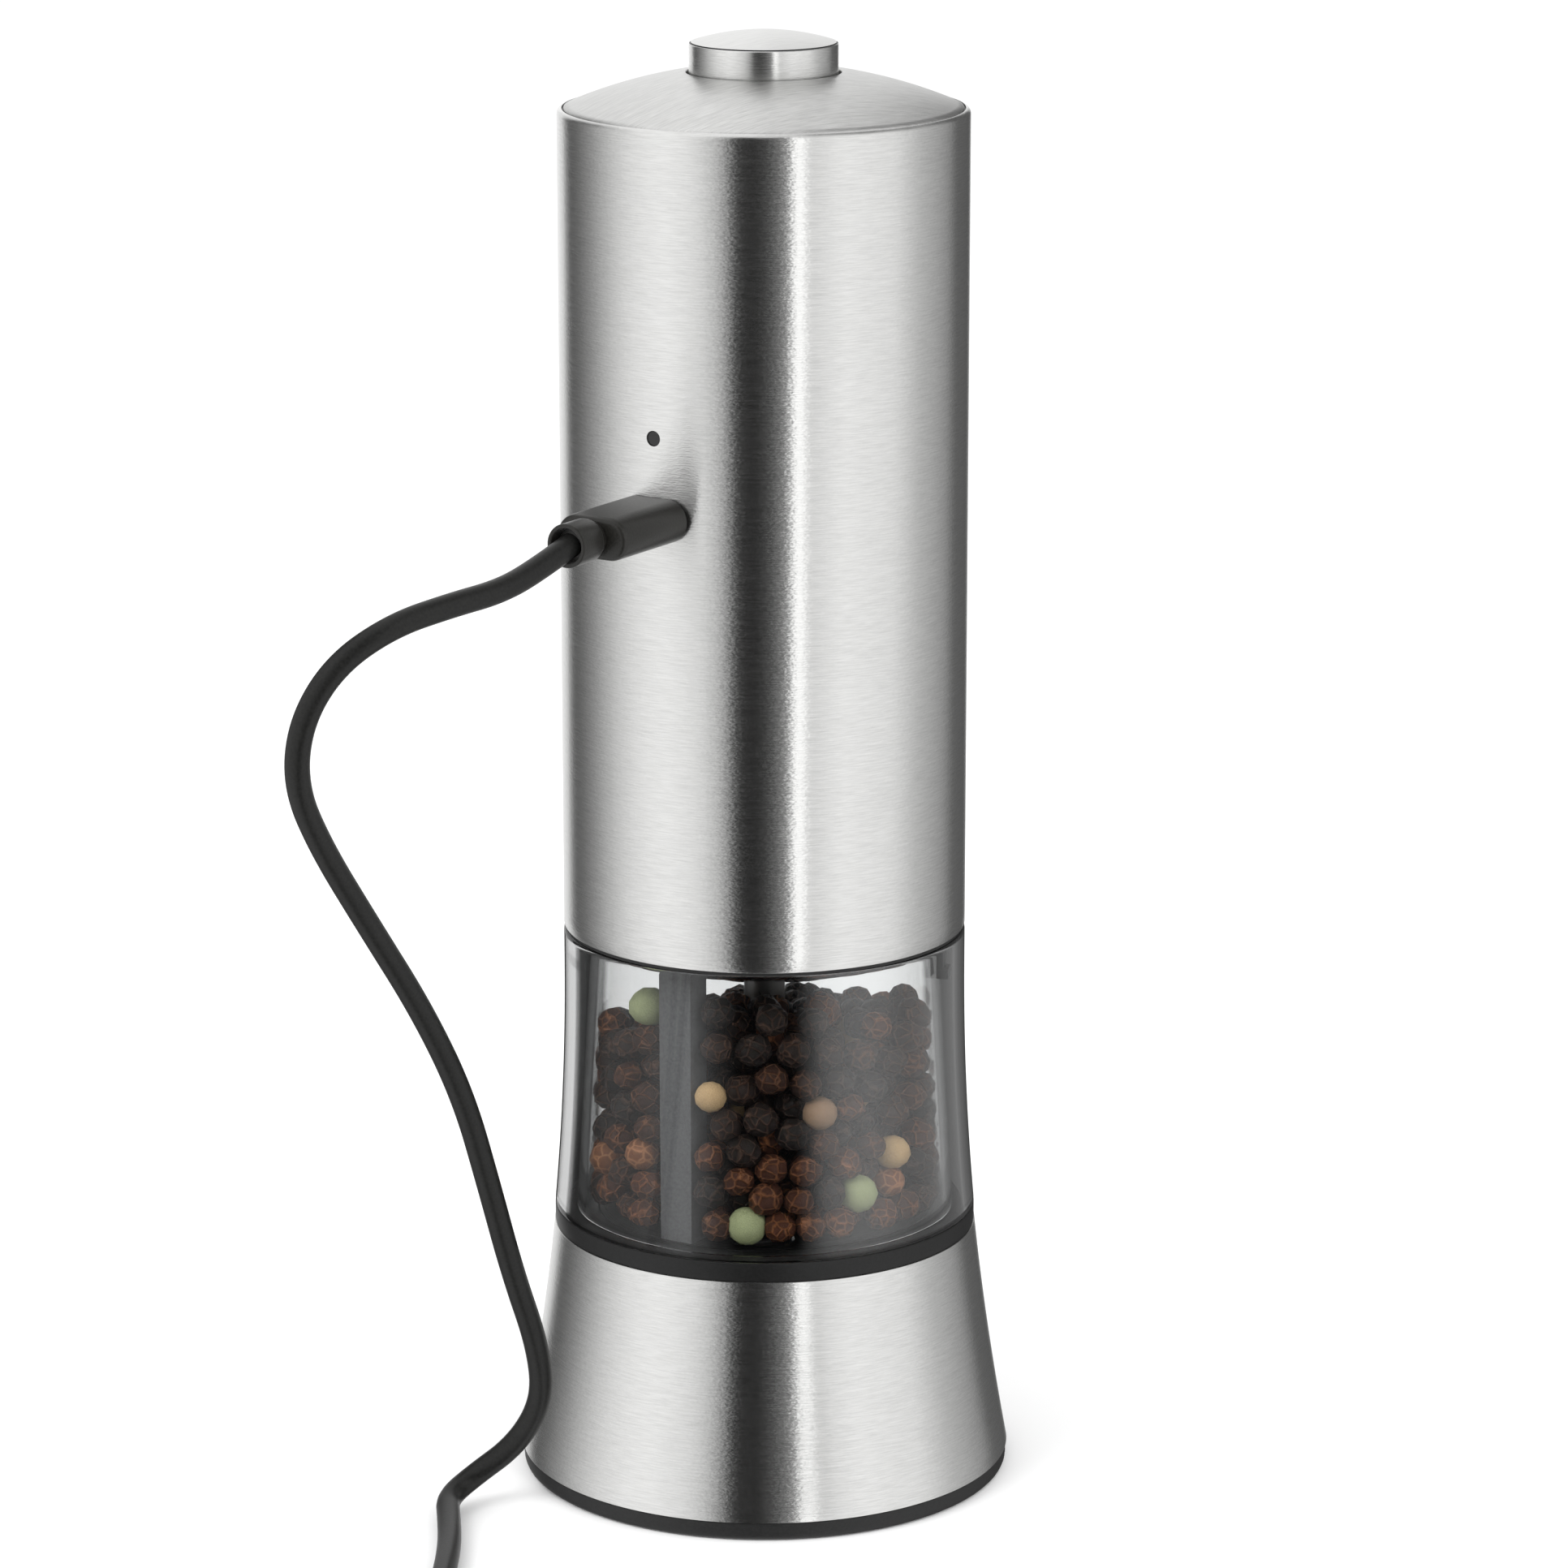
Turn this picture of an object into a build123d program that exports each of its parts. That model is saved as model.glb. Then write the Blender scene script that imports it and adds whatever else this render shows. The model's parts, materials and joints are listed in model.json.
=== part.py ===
"""Rechargeable electric pepper mill: motor head, clear hopper, ceramic burr base and charging lead.

Millimetres, +Z up. The origin is the centre of the foot on the table, and the charging port faces -Y.
"""
import os
from itertools import combinations
from math import acos, atan, atan2, copysign, cos, degrees, dist, hypot, pi, radians, sin, sqrt, tan
from random import Random

from build123d import *

os.makedirs("parts", exist_ok=True)

# Heights of the outer form, stacked from the table
foot_height = 2.8
skirt_height = 34.4
collar_height = 2.8
window_height = 41.7
seal_thickness = 0.5
head_height = 117.8
dome_rise = 5.8
button_stand = 4.1
button_crown = 1.6

# Outer form across the axis, from the head's radius outwards
body_radius = 29.0
flare_step = 1.65
rim_height = 5.7
collar_inset = 0.1
skirt_flare = 5.05
skirt_bow = 0.35
foot_inset = 0.2
foot_width = 4.2
foot_bevel = 0.6
button_radius = 10.5

# Walls and rounded edges
steel_wall = 0.8
hopper_wall = 1.6
liner_wall = 1.2
liner_taper = 2.4
liner_drop = 0.3
hook_room = 2.4
shoulder_round = 0.8
button_round = 1.0
cap_wall = 0.7

# Clearances
slide_gap = 0.2
seat_gap = 0.1
free_gap = 0.3
journal_gap = 0.05
press_gap = 0.02

# Bayonet between head and hopper
hook_count = 2
hook_angle = 16.5
hook_width = 3.2
hook_depth = 6.6
hook_wall = 0.8
nose_reach = 0.6
nose_height = 1.4
ledge_height = 1.5
ledge_width = 6.0
lock_turn = 30.0

# Burr set
burr_radius = 15.0
burr_height = 15.0
burr_bore = 11.7
burr_gap = 0.35
burr_teeth = 20
tooth_depth = 0.7
rotor_height = 14.8
rotor_top_radius = 6.2
rotor_land = 4.5
rotor_twist = 27.0
clamp_height = 1.8
clamp_width = 4.0
clamp_bore = 12.4

# Burr carrier
carrier_floor = 8.2
carrier_wall = 2.0
carrier_inset = 3.55
flange_height = 2.8
throat_radius = 11.8
throat_height = 2.0
throat_wall = 4.4
rib_count = 6
rib_width = 1.6
bridge_height = 2.0
bridge_ring = 1.4
bridge_arms = 3
bridge_arm = 4.0
hub_wall = 2.0
bush_wall = 1.45
bush_length = 4.5

# Drive shaft and grind adjuster
shaft_radius = 3.0
shaft_square = 4.2
shaft_thread = 2.0
shaft_engagement = 5.6
spring_wire = 0.8
spring_radius = 4.1
spring_turns = 6
knob_radius = 9.0
knob_height = 6.5
knob_flutes = 12
knob_floor_gap = 1.0

# Planetary gear set
module_size = 0.7
pressure_angle = 25.0
sun_teeth = 12
planet_teeth = 15
planet_count = 3
addendum_share = 0.8
dedendum_share = 1.05
backlash = 0.14
gear_face = 8.0
carrier_plate = 3.0
carrier_rim = 13.2
planet_pin = 1.4
output_boss = 6.0
gear_shell = 2.6
gear_floor = 2.0
gear_head_room = 4.2
gear_lid = 2.0

# Motor, battery and inner frame
motor_radius = 13.85
motor_cap_length = 4.0
motor_nose = 5.0
motor_shaft = 1.15
battery_radius = 9.15
battery_length = 49.5
battery_shift = 3.0
tab_thickness = 0.3
head_plate = 4.0
shelf_height = 2.0
frame_wall = 2.0
guide_plate = 2.0
guide_wall = 1.7
button_room = 9.7

# Charging port and indicator
port_lift = 6.1
port_width = 8.94
port_thickness = 3.16
port_wall = 0.3
port_length = 6.9
tongue_width = 6.69
tongue_thickness = 0.7
tongue_length = 5.2
board_width = 18.0
board_height = 22.0
board_thickness = 1.2
lamp_rise = 11.2
lamp_radius = 1.1

# Switch and button
switch_width = 10.0
switch_height = 5.0
stem_radius = 2.0
stem_reach = 1.6
button_travel = 2.0
button_wire = 0.5
button_coil_radius = 3.6
button_turns = 5

# Screws
screw_count = 3
screw_radius = 1.2
screw_head = 2.2
screw_head_height = 1.6
screw_length = 8.0

# Light conduit in the hopper and lamp under the base
conduit_width = 5.0
conduit_depth = 4.0
conduit_wall = 0.8
lamp_board_width = 9.0
lamp_board_depth = 5.0
lamp_board_thickness = 1.0
lamp_dome = 1.5

# Peppercorn heap and its larger corns
heap_room = 12.9
heap_lean = 15.0
heap_facing = -48.0
heap_sides = 15
corn_radius = 2.4
corn_width = 4.5
corn_facet = 1.3
corn_stand = 1.6
corn_sink = 1.0
corn_step = 8.6
wall_corns = 52
top_corns = 7
corn_seed = 7

# Charging lead
cord_radius = 1.7
plug_width = 11.3
plug_thickness = 6.0
plug_length = 15.6
plug_round = 0.7
plug_shell_width = 8.25
plug_shell_thickness = 2.4
plug_shell_wall = 0.3
plug_shell_length = 6.4
relief_neck = 1.2
relief_neck_radius = 2.3
relief_collar = 4.9
relief_radius = 3.05
relief_recess = 2.0
coil_mid_radius = 19.5
coil_side = 26.1
coil_reach = 36.3
coil_angle = 211.5
lead_gap = 0.4
tail_angle = -20.6
tie_thickness = 0.6
tie_width = 8.0
outlet_plug_width = 15.5
outlet_plug_thickness = 7.6
outlet_plug_length = 21.0
outlet_relief_length = 8.0
outlet_shell_width = 12.0
outlet_shell_thickness = 4.5
outlet_shell_length = 18.5
outlet_shell_wall = 0.4

# Stacked levels
skirt_top = foot_height + skirt_height
collar_top = skirt_top + collar_height
hopper_top = collar_top + window_height
seam = hopper_top + seal_thickness
shoulder = seam + head_height
sleeve_bore = body_radius - steel_wall
hopper_bore = body_radius - hopper_wall
hopper_foot_radius = body_radius + flare_step
flare_height = window_height - rim_height
liner_top_radius = hopper_bore - hook_room - liner_wall
liner_foot_radius = liner_top_radius + liner_taper
skirt_top_radius = hopper_foot_radius + collar_inset
skirt_foot_radius = skirt_top_radius + skirt_flare

# Levels inside the head: the gearbox stacks up from the seam, the cell hangs from the button's guide,
# and the motor fills the space between them
plate_top = seam + head_plate
gear_floor_top = plate_top + gear_floor
gear_top = gear_floor_top + carrier_plate + gear_face + gear_head_room
lid_top = gear_top + gear_lid
guide_floor = shoulder - button_room
cell_top = guide_floor - tab_thickness
cell_floor = cell_top - battery_length
shelf_top = cell_floor - tab_thickness
shelf_floor = shelf_top - shelf_height
motor_top = shelf_floor - motor_cap_length
motor_length = motor_top - lid_top
port_height = shelf_top + port_lift

# The dome is a shallow spherical cap inside the rounded shoulder
dome_rim = body_radius - shoulder_round
dome_sphere = (dome_rim**2 + dome_rise**2) / (2 * dome_rise)


def dome_level(radius):
    """Height of the outer dome at a distance from the axis."""
    return shoulder + dome_rise - dome_sphere + sqrt(dome_sphere**2 - radius**2)


def liner_radius(level):
    """Inner radius of the tapered hopper liner."""
    share = (hopper_top - level) / window_height
    return liner_top_radius + (liner_foot_radius - liner_top_radius) * share


def skirt_bore(level):
    """Inner radius of the flared skirt, taken along its chord."""
    share = (level - foot_height) / skirt_height
    chord = skirt_foot_radius + (skirt_top_radius - skirt_foot_radius) * share
    return chord - steel_wall - 4 * skirt_bow * share * (1 - share)


def save(piece, name):
    """Label a finished piece and write it as one file."""
    piece.part.label = name
    export_step(piece.part, f"parts/{name}.step")


def ring_face(inner, outer, level):
    """Flat ring at one height, for an extrusion."""
    with BuildSketch(Plane.XY.offset(level)) as ring:
        Circle(outer)
        Circle(inner, mode=Mode.SUBTRACT)
    return ring.sketch


def star_points(count, tip, root, turn=0.0):
    """Saw-tooth ring of points, one tip and one root for each tooth."""
    points = []
    for index in range(count):
        for radius, offset in ((tip, 0.0), (root, 0.7)):
            angle = radians(turn) + 2 * pi * (index + offset) / count
            points.append((radius * cos(angle), radius * sin(angle)))
    return points


def involute(angle):
    return tan(angle) - angle


def gear_points(teeth, tip, root, thinning, turn=0.0):
    """Spur gear outline: involute flanks as two chords, straight tips and roots."""
    pitch = module_size * teeth / 2
    base = pitch * cos(radians(pressure_angle))

    def half_angle(radius):
        """Half of the tooth's angle at a radius."""
        slope = acos(min(1.0, base / radius))
        half = pi / (2 * teeth) - thinning / (2 * pitch)
        return half + involute(radians(pressure_angle)) - involute(slope)

    start = max(root, base)
    flank = [(root, half_angle(start)), (pitch, half_angle(pitch)), (tip, half_angle(tip))]
    points = []
    for index in range(teeth):
        centre = radians(turn) + 2 * pi * index / teeth
        for radius, half in flank:
            points.append((radius * cos(centre - half), radius * sin(centre - half)))
        for radius, half in reversed(flank):
            points.append((radius * cos(centre + half), radius * sin(centre + half)))
    return points


def port_plane(distance):
    """Plane facing out of the charging port, at a distance from the axis."""
    return Plane(origin=(0, -distance, port_height), x_dir=(1, 0, 0), z_dir=(0, -1, 0))


# Base skirt: flared steel shell, bowed slightly inwards
skirt_middle = foot_height + skirt_height / 2
skirt_mean = (skirt_foot_radius + skirt_top_radius) / 2 - skirt_bow
with BuildPart() as base_skirt:
    with BuildSketch(Plane.XZ):
        with BuildLine():
            outside = ThreePointArc(
                (skirt_foot_radius, foot_height), (skirt_mean, skirt_middle), (skirt_top_radius, skirt_top)
            )
            Line(outside @ 1, (skirt_top_radius - steel_wall, skirt_top))
            inside = ThreePointArc(
                (skirt_top_radius - steel_wall, skirt_top),
                (skirt_mean - steel_wall, skirt_middle),
                (skirt_foot_radius - steel_wall, foot_height),
            )
            Line(inside @ 1, outside @ 0)
        make_face()
    revolve(axis=Axis.Z)
save(base_skirt, "base_skirt")

# Foot ring: rubber, with a tongue that plugs into the skirt under the carrier's flange
foot_radius = skirt_foot_radius - foot_inset
foot_inner = foot_radius - foot_width
tongue_outer = skirt_bore(foot_height) - 4 * slide_gap
with BuildPart() as foot_ring:
    with BuildSketch(Plane.XZ):
        with BuildLine():
            Polyline(
                (foot_inner, 0),
                (foot_radius - foot_bevel, 0),
                (foot_radius, foot_bevel),
                (foot_radius, foot_height),
                (tongue_outer, foot_height),
                (tongue_outer - slide_gap * 4, carrier_floor),
                (foot_inner, carrier_floor),
                close=True,
            )
        make_face()
    revolve(axis=Axis.Z)
save(foot_ring, "foot_ring")

# Burr carrier: moulded funnel with a burr pocket, an outer wall, a flange and ribs between
carrier_top = collar_top
carrier_radius = skirt_top_radius - carrier_inset
bridge_seat = carrier_top - bridge_height
burr_floor = carrier_floor + clamp_height
burr_top = burr_floor + burr_height
collar_bore = liner_top_radius + 0.5
rim_radius = collar_bore - slide_gap
bridge_radius = rim_radius - steel_wall
funnel_radius = bridge_radius - bridge_ring
pocket_radius = burr_radius + seat_gap
carrier_flange = skirt_bore(carrier_floor + flange_height) - slide_gap
sleeve_radius = pocket_radius + throat_wall
recess_top = burr_top - 2 * carrier_wall
with BuildPart() as burr_carrier:
    with BuildSketch(Plane.XZ):
        with BuildLine():
            Polyline(
                (rim_radius, carrier_top),
                (rim_radius, skirt_top),
                (carrier_radius, skirt_top),
                (carrier_radius, carrier_floor + flange_height),
                (carrier_flange, carrier_floor + flange_height),
                (carrier_flange, carrier_floor),
                (carrier_radius - carrier_wall, carrier_floor),
                (carrier_radius - carrier_wall, recess_top),
                (sleeve_radius, recess_top),
                (sleeve_radius, carrier_floor),
                (burr_radius + clamp_width + seat_gap, carrier_floor),
                (burr_radius + clamp_width + seat_gap, burr_floor),
                (pocket_radius, burr_floor),
                (pocket_radius, burr_top),
                (throat_radius, burr_top),
                (throat_radius, burr_top + throat_height),
                (funnel_radius, bridge_seat),
                (bridge_radius + seat_gap, bridge_seat),
                (bridge_radius + seat_gap, carrier_top),
                close=True,
            )
        make_face()
    revolve(axis=Axis.Z)
    rib_length = carrier_radius - carrier_wall - sleeve_radius
    rib_middle = sleeve_radius + rib_length / 2
    with BuildSketch(Plane.XY.offset(carrier_floor + carrier_wall)):
        with PolarLocations(rib_middle, rib_count):
            Rectangle(rib_length + carrier_wall, rib_width)
    extrude(amount=recess_top - carrier_floor - carrier_wall)
    clamp_hole = burr_radius + clamp_width / 2
    with BuildSketch(Plane.XY.offset(burr_floor)):
        with PolarLocations(clamp_hole, screw_count):
            Circle(screw_radius + seat_gap)
    extrude(amount=screw_length, mode=Mode.SUBTRACT)
save(burr_carrier, "burr_carrier")

# Stator burr: ceramic ring with saw-tooth bore
with BuildPart() as stator_burr:
    with BuildSketch(Plane.XY.offset(burr_floor)):
        Circle(burr_radius)
        Polygon(*star_points(burr_teeth, burr_bore + tooth_depth, burr_bore), align=None, mode=Mode.SUBTRACT)
    extrude(amount=burr_height)
save(stator_burr, "stator_burr")

# Clamp ring that holds the stator from below, and its screws
with BuildPart() as burr_clamp:
    extrude(ring_face(clamp_bore, burr_radius + clamp_width, carrier_floor), amount=clamp_height)
    with BuildSketch(Plane.XY.offset(carrier_floor)):
        with PolarLocations(clamp_hole, screw_count):
            Circle(screw_radius + seat_gap)
    extrude(amount=clamp_height, mode=Mode.SUBTRACT)
save(burr_clamp, "burr_clamp")

clamp_head = 1.2
with BuildPart() as clamp_screws:
    with BuildSketch(Plane.XY.offset(carrier_floor)):
        with PolarLocations(clamp_hole, screw_count):
            Circle(screw_head - 0.4)
    extrude(amount=-clamp_head)
    with BuildSketch(Plane.XY.offset(carrier_floor)):
        with PolarLocations(clamp_hole, screw_count):
            Circle(screw_radius)
    extrude(amount=clamp_height + screw_length - free_gap)
save(clamp_screws, "clamp_screws")

# Shaft bridge: outer ring, three arms and the hub of the upper shaft bush
bush_outer = shaft_radius + journal_gap + bush_wall
hub_bore = bush_outer + press_gap
hub_radius = hub_bore + hub_wall
with BuildPart() as shaft_bridge:
    extrude(ring_face(funnel_radius, bridge_radius, bridge_seat), amount=bridge_height)
    arm_length = bridge_radius - bridge_ring / 2 - hub_bore
    with BuildSketch(Plane.XY.offset(bridge_seat)):
        Circle(hub_radius)
        with PolarLocations(hub_bore + arm_length / 2, bridge_arms, start_angle=30):
            Rectangle(arm_length, bridge_arm)
        Circle(hub_bore, mode=Mode.SUBTRACT)
    extrude(amount=bridge_height)
    extrude(ring_face(hub_bore, hub_radius, bridge_seat - bush_length / 2), amount=bush_length / 2)
save(shaft_bridge, "shaft_bridge")

bush_floor = bridge_seat - bush_length / 2
with BuildPart() as shaft_bush:
    extrude(ring_face(shaft_radius + journal_gap, bush_outer, bush_floor), amount=bush_length)
save(shaft_bush, "shaft_bush")

# Collar: black ring under the hopper, with a spigot inside the skirt
spigot_outer = skirt_bore(skirt_top - collar_height) - 4 * slide_gap
with BuildPart() as hopper_collar:
    extrude(ring_face(collar_bore, hopper_foot_radius, skirt_top), amount=collar_height)
    extrude(ring_face(carrier_radius + slide_gap, spigot_outer, skirt_top), amount=-collar_height)
save(hopper_collar, "hopper_collar")

# Hopper shell: clear flared wall with bayonet ledges inside its mouth
flare_top = collar_top + flare_height
flare_arc = (flare_height**2 + flare_step**2) / (2 * flare_step)
flare_middle = flare_height / 2
flare_bulge = flare_arc - sqrt(flare_arc**2 - flare_middle**2)
hook_foot = seam - hook_depth
hook_inner = liner_radius(hook_foot) + liner_wall + slide_gap
hook_outer = hook_inner + hook_wall
nose_outer = hook_outer + nose_reach
ledge_floor = hook_foot + nose_height + free_gap
ledge_inner = hook_outer + slide_gap
with BuildPart() as hopper_shell:
    with BuildSketch(Plane.XZ):
        with BuildLine():
            outside = ThreePointArc(
                (hopper_foot_radius, collar_top),
                (body_radius + flare_bulge, flare_top - flare_middle),
                (body_radius, flare_top),
            )
            Polyline(
                outside @ 1, (body_radius, hopper_top), (hopper_bore, hopper_top), (hopper_bore, flare_top)
            )
            inside = ThreePointArc(
                (hopper_bore, flare_top),
                (hopper_bore + flare_bulge, flare_top - flare_middle),
                (hopper_foot_radius - hopper_wall, collar_top),
            )
            Line(inside @ 1, outside @ 0)
        make_face()
    revolve(axis=Axis.Z)
    ledge_length = hopper_bore + hopper_wall / 2 - ledge_inner
    with BuildSketch(Plane.XY.offset(ledge_floor)):
        with PolarLocations(ledge_inner + ledge_length / 2, hook_count, start_angle=hook_angle + lock_turn):
            Rectangle(ledge_length, ledge_width)
    extrude(amount=ledge_height)
save(hopper_shell, "hopper_shell")

# Hopper liner: clear tapered inner wall that holds the pepper
liner_top = hopper_top - liner_drop
with BuildPart() as hopper_liner:
    with BuildSketch(Plane.XZ):
        with BuildLine():
            Polyline(
                (liner_foot_radius, collar_top),
                (liner_foot_radius + liner_wall, collar_top),
                (liner_radius(liner_top) + liner_wall, liner_top),
                (liner_radius(liner_top), liner_top),
                close=True,
            )
        make_face()
    revolve(axis=Axis.Z)
save(hopper_liner, "hopper_liner")

# Light conduit: hollow post that stands on the bridge's ring on the port's side
conduit_outer = liner_top_radius - free_gap
conduit_front = sqrt(conduit_outer**2 - (conduit_width / 2) ** 2)
conduit_middle = conduit_front - conduit_depth / 2
with BuildPart() as light_conduit:
    with BuildSketch(Plane.XY.offset(collar_top)):
        with Locations((0, -conduit_middle)):
            Rectangle(conduit_width, conduit_depth)
            Rectangle(conduit_width - 2 * conduit_wall, conduit_depth - 2 * conduit_wall, mode=Mode.SUBTRACT)
    extrude(amount=seam - collar_top - 2 * free_gap)
save(light_conduit, "light_conduit")

# Base lamp: small board with a domed lamp under the carrier's flange
lamp_middle = foot_inner - free_gap - lamp_board_depth / 2
with BuildPart() as base_lamp:
    with BuildSketch(Plane.XY.offset(carrier_floor)):
        with Locations((0, -lamp_middle)):
            Rectangle(lamp_board_width, lamp_board_depth)
    extrude(amount=-lamp_board_thickness)
    with Locations((0, -lamp_middle, carrier_floor - lamp_board_thickness)):
        Sphere(lamp_dome, arc_size1=-90, arc_size2=0)
save(base_lamp, "base_lamp")

# Peppercorn heap: closed core with a leaning top, clear of the shaft, the liner and the conduit, and the
# larger corns of its outer layer, which are pushed apart until none crowds another
heap_floor = bush_floor + bush_length + free_gap
heap_bore = shaft_radius + 2 * free_gap
heap_middle = hopper_top - heap_room
heap_upright = Vector(0, 0, 1).rotate(Axis.Y, heap_lean).rotate(Axis.Z, heap_facing + 180)
slot_half = conduit_width / 2 + free_gap
slot_front = conduit_front - conduit_depth - free_gap
liner_slope = degrees(atan(liner_taper / window_height))


def heap_level(x, y):
    """Height of the heap's leaning top."""
    uphill = x * cos(radians(heap_facing)) + y * sin(radians(heap_facing))
    return heap_middle + uphill * tan(radians(heap_lean))


def seat_corn(corn, on_wall):
    """Bring a corn back to the liner's wall or to the heap's top, beside the conduit."""
    x, y, z = corn
    clear = corn_radius + free_gap
    if abs(x) < slot_half + clear and y < clear - slot_front:
        x = copysign(slot_half + clear, x)
    reach = hypot(x, y)
    outer = liner_radius(z) - clear
    if not on_wall:
        outer = min(max(reach, heap_bore + clear), outer - corn_step)
    corn[0] = x * outer / reach
    corn[1] = y * outer / reach
    top = heap_level(corn[0], corn[1]) - corn_sink
    corn[2] = min(max(z, heap_floor + clear), top) if on_wall else top


def spread_corns():
    """Centres of the larger corns, those on the wall first."""
    chance = Random(corn_seed)
    corns = []
    for _ in range(wall_corns + top_corns):
        x = chance.uniform(-liner_foot_radius, liner_foot_radius)
        y = chance.uniform(-liner_foot_radius, liner_foot_radius)
        corns.append([x, y, chance.uniform(heap_floor, heap_middle)])
    for _ in range(100):
        for one, other in combinations(corns, 2):
            gap = dist(one, other)
            if gap < corn_step:
                for axis in range(3):
                    push = (one[axis] - other[axis]) * (corn_step / gap - 1) / 2
                    one[axis] += push
                    other[axis] -= push
        for index, corn in enumerate(corns):
            seat_corn(corn, index < wall_corns)
    return corns


# One larger corn with flat facets
with BuildPart() as faceted_corn:
    Box(corn_width, corn_width, corn_width)
    chamfer(faceted_corn.edges(), corn_facet)

with BuildPart() as pepper_heap:
    with BuildSketch(Plane.XY.offset(heap_floor)):
        RegularPolygon(liner_radius(heap_floor) - free_gap - corn_stand, heap_sides)
    extrude(amount=hopper_top - heap_floor, taper=liner_slope)
    split(bisect_by=Plane(origin=(0, 0, heap_middle), z_dir=heap_upright), keep=Keep.BOTTOM)
    with BuildSketch(Plane.XY.offset(heap_floor)):
        Circle(heap_bore)
        with Locations((0, -slot_front - conduit_depth)):
            Rectangle(2 * slot_half, 2 * conduit_depth)
    extrude(amount=window_height, mode=Mode.SUBTRACT)
    with Locations(*[Location((x, y, z), (0, 0, degrees(atan2(y, x)))) for x, y, z in spread_corns()]):
        add(faceted_corn.part)
save(pepper_heap, "pepper_heap")

# Drive shaft: round, with a threaded foot and squares for the rotor and the head's socket
rotor_floor = burr_floor - 0.8
rotor_top = rotor_floor + rotor_height
shaft_top = seam + shaft_engagement
knob_top = rotor_floor - press_gap
knob_floor = knob_floor_gap
with BuildPart() as drive_shaft:
    with BuildSketch(Plane.XY.offset(knob_floor + knob_height / 3)):
        Circle(shaft_thread)
    extrude(amount=rotor_floor - knob_floor - knob_height / 3)
    with BuildSketch(Plane.XY.offset(rotor_floor)):
        Rectangle(shaft_square, shaft_square)
    extrude(amount=rotor_height)
    with BuildSketch(Plane.XY.offset(rotor_top)):
        Circle(shaft_radius)
    extrude(amount=hopper_top - rotor_top - shaft_engagement)
    with BuildSketch(Plane.XY.offset(hopper_top - shaft_engagement)):
        Rectangle(shaft_square, shaft_square)
    extrude(amount=shaft_top - hopper_top + shaft_engagement)
save(drive_shaft, "drive_shaft")

# Rotor burr: ridged land below, twisted ridges narrowing above
rotor_radius = burr_bore - burr_gap
with BuildPart() as rotor_burr:
    with BuildSketch(Plane.XY.offset(rotor_floor)):
        Polygon(*star_points(burr_teeth, rotor_radius, rotor_radius - tooth_depth), align=None)
    extrude(amount=rotor_land)
    with BuildSketch(Plane.XY.offset(rotor_floor + rotor_land)):
        Polygon(*star_points(burr_teeth, rotor_radius, rotor_radius - tooth_depth), align=None)
    with BuildSketch(Plane.XY.offset(rotor_top)):
        Polygon(
            *star_points(burr_teeth, rotor_top_radius, rotor_top_radius - tooth_depth / 2, rotor_twist), align=None
        )
    loft(ruled=True)
    with BuildSketch(Plane.XY.offset(rotor_floor)):
        Rectangle(shaft_square + 2 * press_gap, shaft_square + 2 * press_gap)
    extrude(amount=rotor_height, mode=Mode.SUBTRACT)
save(rotor_burr, "rotor_burr")

# Burr spring: holds the rotor down on the adjuster, under the bridge's bush
spring_floor = rotor_top + spring_wire / 2
spring_length = bush_floor - rotor_top - spring_wire - free_gap
with BuildPart() as burr_spring:
    with BuildLine():
        coil = Helix(spring_length / spring_turns, spring_length, spring_radius, center=(0, 0, spring_floor))
    with BuildSketch(Plane(origin=coil @ 0, z_dir=coil % 0)):
        RegularPolygon(spring_wire / 2, 6)
    sweep(path=coil)
save(burr_spring, "burr_spring")

# Grind adjuster: fluted knob on the shaft's threaded foot
with BuildPart() as adjust_knob:
    with BuildSketch(Plane.XY.offset(knob_floor)):
        Circle(knob_radius)
        with PolarLocations(knob_radius + knob_radius / 12, knob_flutes):
            Circle(knob_radius / 6, mode=Mode.SUBTRACT)
    extrude(amount=knob_height)
    with BuildSketch(Plane.XY.offset(knob_floor + knob_height)):
        Circle(shaft_thread + hub_wall)
    extrude(amount=knob_top - knob_floor - knob_height)
    with BuildSketch(Plane.XY.offset(knob_floor + knob_height / 3)):
        Circle(shaft_thread + journal_gap)
    extrude(amount=knob_top - knob_floor - knob_height / 3, mode=Mode.SUBTRACT)
    chamfer(adjust_knob.edges().group_by(Axis.Z)[0], 0.5)
save(adjust_knob, "adjust_knob")

# Seal: washer on the hopper's rim that turns with the head
with BuildPart() as seal_ring:
    extrude(ring_face(hopper_bore, body_radius - seat_gap, hopper_top), amount=seal_thickness)
save(seal_ring, "seal_ring")

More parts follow.
